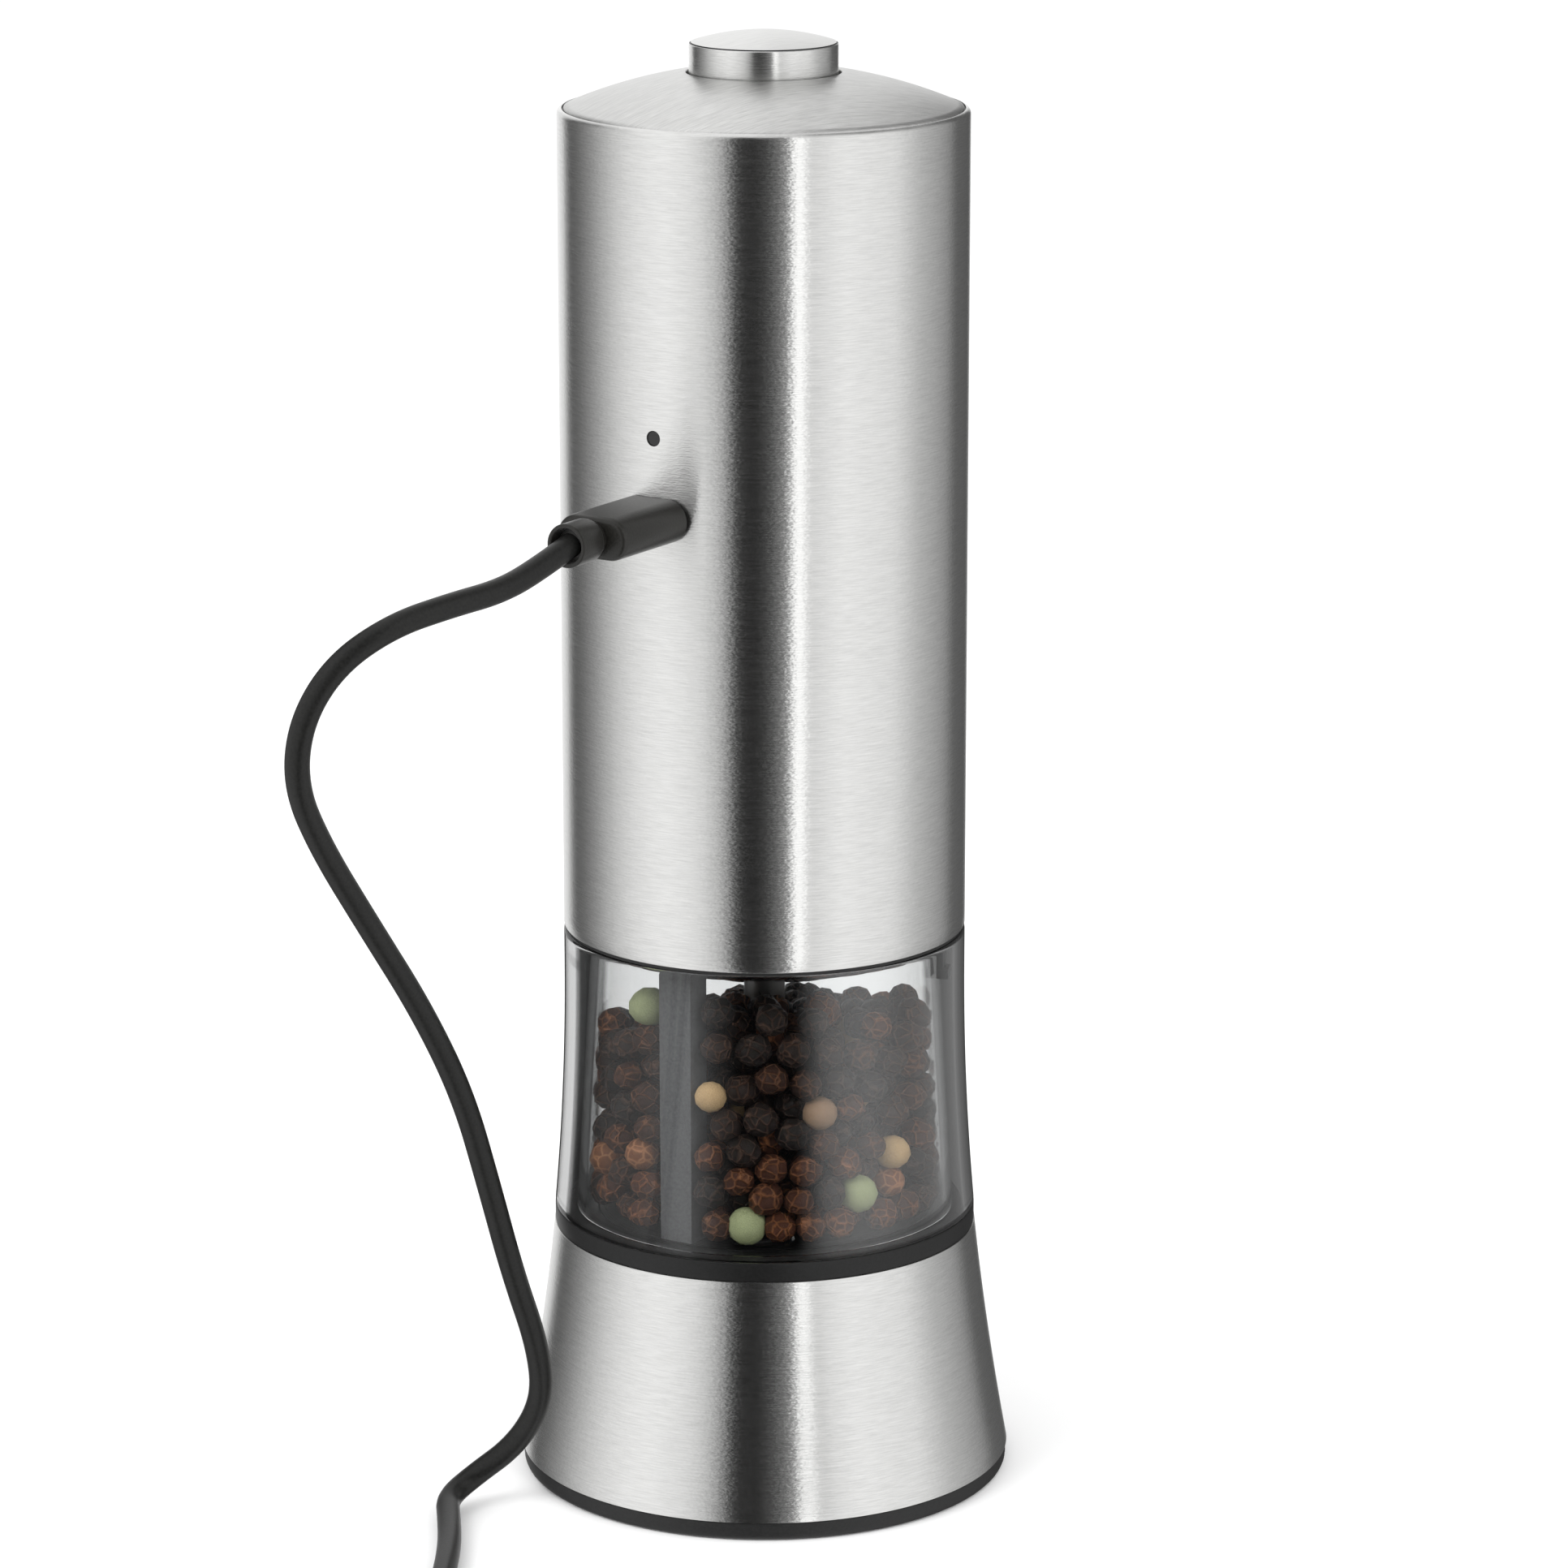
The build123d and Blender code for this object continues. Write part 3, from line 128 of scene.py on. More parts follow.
def spun(bm, points, steps):
    """Spins a closed half section in millimetres about the mill's axis."""
    verts = [bm.verts.new((r * MM, 0, z * MM)) for r, z in points]
    edges = [bm.edges.new(pair) for pair in zip(verts, verts[1:] + verts[:1])]
    bmesh.ops.spin(
        bm, geom=verts + edges, cent=(0, 0, 0), axis=(0, 0, 1), angle=2 * math.pi, steps=steps, use_merge=True
    )


def lathe(name, points, body, material, steps=192):
    """Object of one spun half section."""
    bm = bmesh.new()
    spun(bm, points, steps)
    return finish_mesh(bm, name, body, material)


# Node helpers

def node(tree, kind, **values):
    """New node with its properties set."""
    n = tree.nodes.new(kind)
    for key, value in values.items():
        setattr(n, key, value)
    return n


def link(tree, a, b):
    tree.links.new(a, b)


def new_material(name):
    m = bpy.data.materials.new(name)
    m.use_nodes = True
    return m, m.node_tree, m.node_tree.nodes["Principled BSDF"]


def math_node(tree, op, a, b):
    """Value of a sum or test of two values or sockets."""
    n = node(tree, "ShaderNodeMath", operation=op)
    for i, v in enumerate((a, b)):
        if isinstance(v, (int, float)):
            n.inputs[i].default_value = v
        else:
            tree.links.new(v, n.inputs[i])
    return n.outputs[0]


def ramp(tree, source, stops):
    """Colour from a value by stops, each a place and a colour."""
    n = tree.nodes.new("ShaderNodeValToRGB")
    elements = n.color_ramp.elements
    while len(elements) < len(stops):
        elements.new(0.5)
    for e, (p, c) in zip(elements, stops):
        e.position = p
        e.color = (*c, 1)
    tree.links.new(source, n.inputs[0])
    return n.outputs[0]


def mix_colour(tree, factor, a, b, blend="MIX"):
    """Mix of two colours or sockets."""
    n = node(tree, "ShaderNodeMix", data_type="RGBA", blend_type=blend)
    for socket, v in ((n.inputs[0], factor), (n.inputs[6], a), (n.inputs[7], b)):
        if isinstance(v, (int, float)):
            socket.default_value = v
        elif isinstance(v, tuple):
            socket.default_value = (*v, 1)
        else:
            tree.links.new(v, socket)
    return n.outputs[2]


def scaled_coords(tree, scale, turn=0.0):
    """Object coordinates in metres, turned about the mill's axis and multiplied by a scale."""
    coords = tree.nodes.new("ShaderNodeTexCoord")
    mapping = node(tree, "ShaderNodeMapping", vector_type="TEXTURE")
    mapping.inputs["Rotation"].default_value = (0, 0, turn)
    mapping.inputs["Scale"].default_value = tuple(1 / s for s in scale)
    tree.links.new(coords.outputs["Object"], mapping.inputs["Vector"])
    return mapping.outputs[0]


def noise(tree, vector, scale=1.0, detail=2.0, rough=0.5):
    n = tree.nodes.new("ShaderNodeTexNoise")
    n.inputs["Scale"].default_value = scale
    n.inputs["Detail"].default_value = detail
    n.inputs["Roughness"].default_value = rough
    tree.links.new(vector, n.inputs["Vector"])
    return n.outputs[0]


def bump(tree, height, strength, distance):
    n = tree.nodes.new("ShaderNodeBump")
    n.inputs["Strength"].default_value = strength
    n.inputs["Distance"].default_value = distance
    tree.links.new(height, n.inputs["Height"])
    return n.outputs[0]


# Brushed streaks, shared by the steel pieces: a fine value and a broad one

def streak_group():
    """Node group of both streak values, from coordinates stretched along the brushing."""
    g = bpy.data.node_groups.new("brushed_streaks", "ShaderNodeTree")
    g.interface.new_socket("Vector", in_out="INPUT", socket_type="NodeSocketVector")
    g.interface.new_socket("Streak", in_out="OUTPUT", socket_type="NodeSocketFloat")
    g.interface.new_socket("Broad", in_out="OUTPUT", socket_type="NodeSocketFloat")
    inlet = g.nodes.new("NodeGroupInput")
    outlet = g.nodes.new("NodeGroupOutput")
    fine = noise(g, inlet.outputs[0], 1.0, 2.0, 0.65)
    stretch = node(g, "ShaderNodeVectorMath", operation="SCALE")
    stretch.inputs["Scale"].default_value = 0.28
    g.links.new(inlet.outputs[0], stretch.inputs[0])
    broad = noise(g, stretch.outputs[0], 1.0, 2.0, 0.5)
    g.links.new(fine, outlet.inputs[0])
    g.links.new(broad, outlet.inputs[1])
    return g


STREAKS = streak_group()


def brushed_steel(
    name, scale, turn=0.0, rough=0.24, aniso=0.95, tone=0.70, vertical=True, grain=0.22, spread=0.10, fleck=0.0
):
    """Steel with streaks; vertical spreads its reflections along the mill's axis, and fleck adds short marks."""
    m, t, b = new_material(name)
    g = t.nodes.new("ShaderNodeGroup")
    g.node_tree = STREAKS
    link(t, scaled_coords(t, scale, turn), g.inputs[0])
    streak, broad = g.outputs[0], g.outputs[1]
    both = math_node(t, "ADD", math_node(t, "MULTIPLY", streak, 0.85), math_node(t, "MULTIPLY", broad, 0.15))
    stops = ((0.30, tone * (1 - spread)), (0.5, tone), (0.72, tone * (1 + spread)))
    colour = ramp(t, both, [(place, (grey, grey, grey * 0.985)) for place, grey in stops])
    link(t, colour, b.inputs["Base Color"])
    b.inputs["Metallic"].default_value = 1.0
    roughness = math_node(t, "ADD", math_node(t, "MULTIPLY", both, 0.10), rough - 0.05)
    link(t, roughness, b.inputs["Roughness"])
    b.inputs["Anisotropic"].default_value = aniso
    if vertical:
        tangent = node(t, "ShaderNodeTangent", direction_type="RADIAL", axis="Z")
        link(t, tangent.outputs[0], b.inputs["Tangent"])
        b.inputs["Anisotropic Rotation"].default_value = 0.25
    height = both
    if fleck:
        short = noise(t, scaled_coords(t, (1500, 1500, 4200)), 1.0, 1.0)
        height = math_node(t, "ADD", both, math_node(t, "MULTIPLY", short, fleck))
    link(t, bump(t, height, grain, 0.0001), b.inputs["Normal"])
    return m


ROUND = (320, 320, 5200)
ACROSS = math.radians(61.5)
M_SLEEVE = brushed_steel("steel_sleeve", ROUND, fleck=0.8)
M_SKIRT = brushed_steel("steel_skirt", ROUND, fleck=0.8)
M_DOME = brushed_steel("steel_dome", (330, 4200, 300), turn=ACROSS, rough=0.36, aniso=0.0, vertical=False,
                       tone=0.66, grain=0.5, spread=0.16)
M_BUTTON = brushed_steel("steel_button", (600, 600, 5200), rough=0.25, tone=0.72, grain=0.25)
M_BUTTON_TOP = brushed_steel("steel_button_top", (330, 4200, 300), turn=ACROSS, rough=0.33, aniso=0.0,
                             vertical=False, tone=0.74, grain=0.2, spread=0.08)


def plain_metal(name, colour, rough):
    """Bare metal with a faint mottle."""
    m, t, b = new_material(name)
    v = noise(t, scaled_coords(t, (900, 900, 900)), 1.0, 3.0)
    link(t, ramp(t, v, [(0.3, tuple(c * 0.85 for c in colour)), (0.7, colour)]), b.inputs["Base Color"])
    b.inputs["Metallic"].default_value = 1.0
    link(t, math_node(t, "ADD", math_node(t, "MULTIPLY", v, 0.12), rough - 0.06), b.inputs["Roughness"])
    return m


def moulded(name, colour, rough, grain=0.08, size=2600, spread=0.25, shine=0.5):
    """Moulded plastic, rubber or ceramic with a fine grain."""
    m, t, b = new_material(name)
    b.inputs["Specular IOR Level"].default_value = shine
    vector = scaled_coords(t, (size, size, size))
    v = noise(t, vector, 1.0, 3.0)
    darker, lighter = (tuple(c * share for c in colour) for share in (1 - spread, 1 + spread))
    link(t, ramp(t, v, [(0.3, darker), (0.7, lighter)]), b.inputs["Base Color"])
    link(t, math_node(t, "ADD", math_node(t, "MULTIPLY", v, 0.14), rough - 0.07), b.inputs["Roughness"])
    link(t, bump(t, v, grain, 0.0001), b.inputs["Normal"])
    return m


def clear_plastic(name, tint):
    """Polished clear plastic that lets light through to the corns without caustics."""
    m, t, b = new_material(name)
    b.inputs["Base Color"].default_value = (*tint, 1)
    b.inputs["Roughness"].default_value = 0.0
    b.inputs["IOR"].default_value = 1.49
    b.inputs["Transmission Weight"].default_value = 1.0
    paths = t.nodes.new("ShaderNodeLightPath")
    through = t.nodes.new("ShaderNodeBsdfTransparent")
    through.inputs[0].default_value = (0.93, 0.93, 0.93, 1)
    blend = t.nodes.new("ShaderNodeMixShader")
    out = t.nodes["Material Output"]
    link(t, paths.outputs["Is Shadow Ray"], blend.inputs[0])
    link(t, b.outputs[0], blend.inputs[1])
    link(t, through.outputs[0], blend.inputs[2])
    link(t, blend.outputs[0], out.inputs["Surface"])
    return m


M_CLEAR = clear_plastic("clear_acrylic", (0.985, 0.99, 0.99))


def faint_plastic(name):
    """Clear plastic of the thin ledges, mostly seen as their outline."""
    m, t, b = new_material(name)
    b.inputs["Roughness"].default_value = 0.1
    b.inputs["Transmission Weight"].default_value = 1.0
    through = t.nodes.new("ShaderNodeBsdfTransparent")
    blend = t.nodes.new("ShaderNodeMixShader")
    blend.inputs[0].default_value = 0.8
    link(t, b.outputs[0], blend.inputs[1])
    link(t, through.outputs[0], blend.inputs[2])
    link(t, blend.outputs[0], t.nodes["Material Output"].inputs["Surface"])
    return m


M_LEDGE = faint_plastic("ledge_acrylic")
M_BLACK = moulded("black_plastic", (0.007, 0.007, 0.007), 0.38, shine=0.3)
M_RUBBER = moulded("black_rubber", (0.012, 0.012, 0.012), 0.5, 0.12, shine=0.35)
M_CORD = moulded("cord_rubber", (0.010, 0.010, 0.0095), 0.36, 0.1, shine=0.22)
M_GRIP = moulded("plug_rubber", (0.011, 0.0105, 0.009), 0.34, 0.22, 3400, shine=0.35)
M_GRIP.node_tree.nodes["Principled BSDF"].inputs["Sheen Weight"].default_value = 0.12
M_GRIP.node_tree.nodes["Principled BSDF"].inputs["Sheen Roughness"].default_value = 0.35
M_GREY = moulded("grey_plastic", (0.085, 0.087, 0.09), 0.4, 0.05)
M_NYLON = moulded("gear_nylon", (0.62, 0.60, 0.54), 0.45, 0.05, 900, 0.08)
M_CERAMIC = moulded("burr_ceramic", (0.78, 0.76, 0.71), 0.35, 0.05, 1500, 0.06)
M_STEEL = plain_metal("plain_steel", (0.62, 0.62, 0.61), 0.3)
M_BRASS = plain_metal("bush_brass", (0.66, 0.46, 0.17), 0.3)
M_MOTOR = plain_metal("motor_steel", (0.55, 0.55, 0.54), 0.35)
M_CELL = moulded("cell_wrap", (0.04, 0.16, 0.42), 0.3, 0.02, 700, 0.1)
M_BOARD = moulded("board_green", (0.02, 0.16, 0.07), 0.4, 0.04, 1500, 0.3)
M_LAMP = moulded("lamp_plastic", (0.006, 0.006, 0.006), 0.2, 0.01)


# Sizes of the outer form, in millimetres, as in the CAD source

SEAM, SHOULDER, BODY, SLEEVE_WALL, SHOULDER_ROLL = 82.2, 200.0, 29.0, 0.8, 0.8
HOPPER_TOP, COLLAR_TOP, SKIRT_TOP, FOOT_TOP = 81.7, 40.0, 37.2, 2.8
PORT_Z, LAMP_Z = 146.3, 157.5
PORT_WIDTH, PORT_HEIGHT, LAMP_RADIUS = 9.74, 3.96, 1.1
DOME_RADIUS, DOME_RISE, BUTTON_HOLE = 28.2, 5.8, 10.9
SKIRT_FOOT, SKIRT_NECK, SKIRT_HOLLOW, SKIRT_WALL = 35.8, 30.75, 0.35, 0.8
COLLAR, FLARE_TOP, FLARE_RUN, SHELL_WALL = 30.65, 76.0, 36.0, 1.6
LINER_TOP, LINER_SPREAD, LINER_RUN, LINER_WALL = 23.8, 2.4, 41.7, 1.2


def dome_z(r):
    """Height of the dome at a distance from the axis."""
    sphere = (DOME_RADIUS ** 2 + DOME_RISE ** 2) / (2 * DOME_RISE)
    return SHOULDER + DOME_RISE - sphere + math.sqrt(sphere ** 2 - r ** 2)


# Head sleeve: skin with a port slot and a lamp hole, rolled shoulder, domed top and button hole

SLOT_HALF_RUN, SLOT_END = (PORT_WIDTH - PORT_HEIGHT) / 2, PORT_HEIGHT / 2


def slot_distance(s, z):
    """Signed distance from the port slot or the lamp hole, whichever is nearer."""
    port = math.hypot(max(abs(s) - SLOT_HALF_RUN, 0.0), z - PORT_Z) - SLOT_END
    lamp = math.hypot(s, z - LAMP_Z) - LAMP_RADIUS
    return port if abs(port) < abs(lamp) else lamp


def slot_snap(s, z):
    """Nearest point on the outline of the port slot or the lamp hole."""
    if abs(z - LAMP_Z) < 3.0:
        centre, radius = (0.0, LAMP_Z), LAMP_RADIUS
    else:
        centre, radius = (max(-SLOT_HALF_RUN, min(SLOT_HALF_RUN, s)), PORT_Z), SLOT_END
    away = Vector((s - centre[0], z - centre[1]))
    if away.length < 1e-6:
        away = Vector((0, 1))
    away = away.normalized() * radius
    return centre[0] + away.x, centre[1] + away.y


def wall_point(s, z):
    """Point of the head's wall at a run round it from the port's middle and a height, in metres."""
    return Vector((BODY * math.sin(s / BODY), -BODY * math.cos(s / BODY), z)) * MM


def sleeve_skin():
    """Grid rolled up to the head's wall, closer round the holes, with its rims drawn out to the shoulder and foot."""
    rows = [82.35, 84, 88, 94, 102, 112, 122, 132, 140, 143.2]
    rows += [143.2 + 0.45 * i for i in range(1, 15)]
    rows += [150.5, 152.5, 154.5, 155.6]
    rows += [155.6 + 0.25 * i for i in range(1, 16)]
    rows += [160.5, 163, 168, 175, 183, 190, 196, 198, SHOULDER - SHOULDER_ROLL]
    angles = [-180.0]
    while angles[-1] < 180.0 - 1e-6:
        angles.append(angles[-1] + (0.5 if -16.0 <= angles[-1] < 16.0 else 2.0))
    bm = bmesh.new()
    across, up = len(angles) - 1, len(rows) - 1
    inside = {}
    for v in bmesh.ops.create_grid(bm, x_segments=across, y_segments=up, size=0.5)["verts"]:
        s = math.radians(angles[round((v.co.x + 0.5) * across)]) * BODY
        z = rows[round((v.co.y + 0.5) * up)]
        if abs(s) < 8.5 and slot_distance(s, z) < 0:
            inside[v] = (s, z)
        v.co = wall_point(s, z)
    bmesh.ops.remove_doubles(bm, verts=bm.verts, dist=1e-7)
    holes = [f for f in bm.faces if all(v in inside for v in f.verts)]
    bmesh.ops.delete(bm, geom=holes, context="FACES")
    for v, place in inside.items():
        if v.is_valid:
            v.co = wall_point(*slot_snap(*place))
    rims = [e for e in bm.edges if e.is_boundary and 140 * MM < e.verts[0].co.z < 162 * MM]
    made = bmesh.ops.extrude_edge_only(bm, edges=rims)["geom"]
    for v in made:
        if isinstance(v, bmesh.types.BMVert):
            r = math.hypot(v.co.x, v.co.y)
            k = (r - SLEEVE_WALL * MM) / r
            v.co = (v.co.x * k, v.co.y * k, v.co.z)
    for e in bm.edges:
        if len(e.link_faces) == 2 and e.calc_face_angle() > math.radians(50):
            e.smooth = False
    top = [e for e in bm.edges if e.is_boundary and e.verts[0].co.z > 199 * MM and e.verts[1].co.z > 199 * MM]
    foot = [e for e in bm.edges if e.is_boundary and e.verts[0].co.z < 83 * MM and e.verts[1].co.z < 83 * MM]

    def ring(edges, r, z, material=0):
        """Draws a rim out to a radius and a height, and gives its new rim."""
        made = bmesh.ops.extrude_edge_only(bm, edges=edges)["geom"]
        for g in made:
            if isinstance(g, bmesh.types.BMVert):
                k = r * MM / math.hypot(g.co.x, g.co.y)
                g.co = (g.co.x * k, g.co.y * k, z * MM)
            elif isinstance(g, bmesh.types.BMFace):
                g.material_index = material
        verts = {g for g in made if isinstance(g, bmesh.types.BMVert)}
        return [g for g in made if isinstance(g, bmesh.types.BMEdge) and all(v in verts for v in g.verts)]

    for r, z in arc((BODY - SHOULDER_ROLL, SHOULDER - SHOULDER_ROLL), SHOULDER_ROLL, 15, 82, 6):
        top = ring(top, r, z)
    # These two rings take the black slot: a painted shade line standing for the shadow in the crease between the
    # rolled shoulder and the dome.
    for r, z in ((28.24, SHOULDER - 0.22), (28.06, SHOULDER - 0.22)):
        top = ring(top, r, z, 2)
    for i in range(21):
        r = 28.0 - (28.0 - 11.05) * i / 20
        top = ring(top, r, dome_z(r), 1)
    rim = dome_z(BUTTON_HOLE)
    for r, z in ((10.95, rim - 0.06), (BUTTON_HOLE, rim - 0.2), (BUTTON_HOLE, rim - 0.8)):
        top = ring(top, r, z, 1)
    for r, z in ((28.95, SEAM + 0.03), (28.85, SEAM), (28.2, SEAM), (28.2, 84.0)):
        foot = ring(foot, r, z)
    return finish_mesh(bm, "sleeve_skin", "head", [M_SLEEVE, M_DOME, M_BLACK], 60)


sleeve = sleeve_skin()
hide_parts("head_sleeve")


# Button cap

def button_shape():
    """Cap with a crowned top that ends at its rim in a fine dark line of painted shade, standing for the shadow in
    the crease.
    """
    shoulder, crown, rim = dome_z(BUTTON_HOLE) + 4.1, 1.6, 10.3
    sphere = (rim ** 2 + crown ** 2) / (2 * crown)
    # Points of the painted shade line round the crown's rim, which takes the black slot below.
    line = [(rim + 0.02, shoulder - 0.10), (rim - 0.10, shoulder - 0.08)]
    top = []
    for i in range(13):
        r = (rim - 0.12) * (1 - i / 12)
        top.append((r, shoulder + crown - sphere + math.sqrt(sphere ** 2 - r ** 2)))
    points = [(9.8, 208.0), (9.8, 195.35), (9.95, 195.2), (10.35, 195.2), (10.5, 195.35), (10.5, shoulder - 0.6)]
    points += arc((10.3, shoulder - 0.3), 0.2, 0, 80, 4) + line + top + [(0, 208.0)]
    bm = bmesh.new()
    spun(bm, points, 128)
    for f in bm.faces:
        middle = f.calc_center_median()
        r = math.hypot(middle.x, middle.y) / MM
        # Faces of the crown take the top's steel, and the narrow band at its rim takes the black slot as painted
        # shade.
        if middle.z > (shoulder - 0.12) * MM:
            f.material_index = 1 if r < rim - 0.13 else 2
    return finish_mesh(bm, "button_shape", "button", [M_BUTTON, M_BUTTON_TOP, M_BLACK], 50)


button = button_shape()
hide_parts("button_cap")


# Skirt, foot, collar, seal

def skirt_r(z, inset=0.0):
    """Radius of the hollow skirt at a height."""
    share = (z - FOOT_TOP) / (SKIRT_TOP - FOOT_TOP)
    return SKIRT_FOOT + (SKIRT_NECK - SKIRT_FOOT) * share - 4 * SKIRT_HOLLOW * share * (1 - share) - inset


levels = [3.0 + (37.0 - 3.0) * i / 16 for i in range(17)]
profile = [(skirt_r(z), z) for z in levels]
profile += [(skirt_r(37.1), 37.14)] + [(skirt_r(SKIRT_TOP, inset), SKIRT_TOP) for inset in (0.18, SKIRT_WALL)]
profile += [(skirt_r(z, SKIRT_WALL), z) for z in (30, 20, 10, 3.0)]
profile += [(skirt_r(FOOT_TOP, 0.62), FOOT_TOP), (skirt_r(FOOT_TOP, 0.18), FOOT_TOP), (skirt_r(FOOT_TOP, 0.05), 2.86)]
skirt = lathe("skirt_shell", profile, "base", M_SKIRT, 256)
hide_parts("base_skirt")

foot = lathe(
    "foot_shape",
    rounded(
        [(31.4, 0), (35.6, 0), (35.6, FOOT_TOP), (34.2, FOOT_TOP), (33.4, 8.2), (31.4, 8.2)],
        [0.3, 1.3, 0.35, 0.1, 0.2, 0.2], 5,
    ),
    "base", M_RUBBER,
)
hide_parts("foot_ring")

collar = lathe(
    "collar_shape",
    rounded(
        [
            (24.3, SKIRT_TOP), (27.4, SKIRT_TOP), (27.4, 34.4), (29.3, 34.4), (29.3, SKIRT_TOP),
            (COLLAR, SKIRT_TOP), (COLLAR, COLLAR_TOP), (24.3, COLLAR_TOP),
        ],
        [0.1, 0, 0.1, 0.1, 0, 0.25, 0.3, 0.1],
    ),
    "base", M_BLACK,
)
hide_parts("hopper_collar")

section = rounded([(27.4, HOPPER_TOP), (28.75, HOPPER_TOP), (28.75, SEAM), (27.4, SEAM)], 0.1, 2)
seal = lathe("seal_shape", section, "seal", M_RUBBER)
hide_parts("seal_ring")


# Hopper: flared clear shell with its bayonet ledges, and the tapered liner

def flare_r(z):
    """Outer radius of the shell: the head's at the top, then a long arc out to the collar's."""
    step = COLLAR - BODY
    radius = (FLARE_RUN ** 2 + step ** 2) / (2 * step)
    d = max(0.0, FLARE_TOP - z)
    return BODY + radius - math.sqrt(radius ** 2 - d ** 2)


def shell_shape():
    """Flared wall with rows near its ends that keep the shading even, and two bayonet ledges inside."""
    rows = [40.3, 40.5] + [41.0 + 35.0 * i / 14 for i in range(15)] + [80.9, 81.1]
    outside = [(flare_r(z), z) for z in rows]
    inside = [(flare_r(z) - SHELL_WALL, z) for z in reversed(rows)]
    foot_r = flare_r(COLLAR_TOP)
    points = [(foot_r - 0.25, COLLAR_TOP), (foot_r - 0.05, COLLAR_TOP + 0.1)] + outside
    points += [(28.95, 81.5), (28.85, 81.62), (28.65, HOPPER_TOP), (27.6, HOPPER_TOP), (27.45, 81.6)] + inside
    points.append((foot_r - SHELL_WALL, COLLAR_TOP))
    bm = bmesh.new()
    spun(bm, points, 192)
    for k in range(2):
        a = math.radians(16.5 + 30 + 180 * k)
        m = Matrix.Rotation(a, 4, "Z") @ Matrix.Translation((27.05 * MM, 0, 78.05 * MM))
        m = m @ Matrix.Diagonal((0.78 * MM, 6.0 * MM, 1.5 * MM, 1))
        ledge = bmesh.ops.create_cube(bm, size=1.0, matrix=m)["verts"]
        for face in {f for v in ledge for f in v.link_faces}:
            face.material_index = 1
    return finish_mesh(bm, "shell_shape", "base", [M_CLEAR, M_LEDGE], 40)


shell = shell_shape()
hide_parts("hopper_shell")


def liner_r(z):
    """Inner radius of the tapered liner at a height."""
    return LINER_TOP + LINER_SPREAD * (HOPPER_TOP - z) / LINER_RUN


levels = [40.3, 40.5, 50.0, 60.0, 70.0, 80.4, 80.6]
profile = [(26.3, 40.02), (27.3, 40.02)] + [(liner_r(z) + LINER_WALL, z) for z in levels]
profile += arc((liner_r(80.8) + LINER_WALL / 2, 80.8), LINER_WALL / 2, 8, 172, 8)
profile += [(liner_r(z), z) for z in reversed(levels)]
liner = lathe("liner_shape", profile, "base", M_CLEAR, 192)
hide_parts("hopper_liner")


# Peppercorns: the larger corns of the CAD heap, and others settled between and behind them

HEAP_MIDDLE, HEAP_LEAN, HEAP_FACING, HEAP_FLOOR, HEAP_BORE = 68.8, math.radians(15), math.radians(-48), 40.55, 3.6
CORN, CORN_GAP, CORN_STEP, WALL_CORNS, TOP_CORNS = 2.4, 0.3, 8.6, 52, 7
SLOT_HALF, SLOT_FRONT = 2.8, 19.0666
POST_SIDE, POST_BACK, SHAFT_CLEAR, CORN_FLOOR, CORN_CEILING, WALL_GAP = 2.6, 18.9, 3.2, 40.75, 77.5, 0.12
RESTING, GREEN_CORN = (-6.1, -20.7, 73.4), 2.85


def heap_level(x, y):
    """Height of the heap's leaning top."""
    return HEAP_MIDDLE + (x * math.cos(HEAP_FACING) + y * math.sin(HEAP_FACING)) * math.tan(HEAP_LEAN)


def seat_corn(corn, on_wall):
    """Brings a corn back to the liner's wall or to the heap's top, beside the conduit."""
    x, y, z = corn
    clear = CORN + CORN_GAP
    if abs(x) < SLOT_HALF + clear and y < clear - SLOT_FRONT:
        x = math.copysign(SLOT_HALF + clear, x)
    reach = math.hypot(x, y)
    outer = liner_r(z) - clear
    if not on_wall:
        outer = min(max(reach, HEAP_BORE + clear), outer - CORN_STEP)
    corn[0] = x * outer / reach
    corn[1] = y * outer / reach
    top = heap_level(corn[0], corn[1]) - 1.0
    corn[2] = min(max(z, HEAP_FLOOR + clear), top) if on_wall else top


def larger_corns():
    """Centres of the larger corns, spread as in the CAD source."""
    chance = Random(7)
    corns = []
    for _ in range(WALL_CORNS + TOP_CORNS):
        x = chance.uniform(-liner_r(COLLAR_TOP), liner_r(COLLAR_TOP))
        y = chance.uniform(-liner_r(COLLAR_TOP), liner_r(COLLAR_TOP))
        corns.append([x, y, chance.uniform(HEAP_FLOOR, HEAP_MIDDLE)])
    for _ in range(100):
        for one, other in combinations(corns, 2):
            gap = math.dist(one, other)
            if gap < CORN_STEP:
                for axis in range(3):
                    push = (one[axis] - other[axis]) * (CORN_STEP / gap - 1) / 2
                    one[axis] += push
                    other[axis] -= push
        for index, corn in enumerate(corns):
            seat_corn(corn, index < WALL_CORNS)
    return np.array(corns)


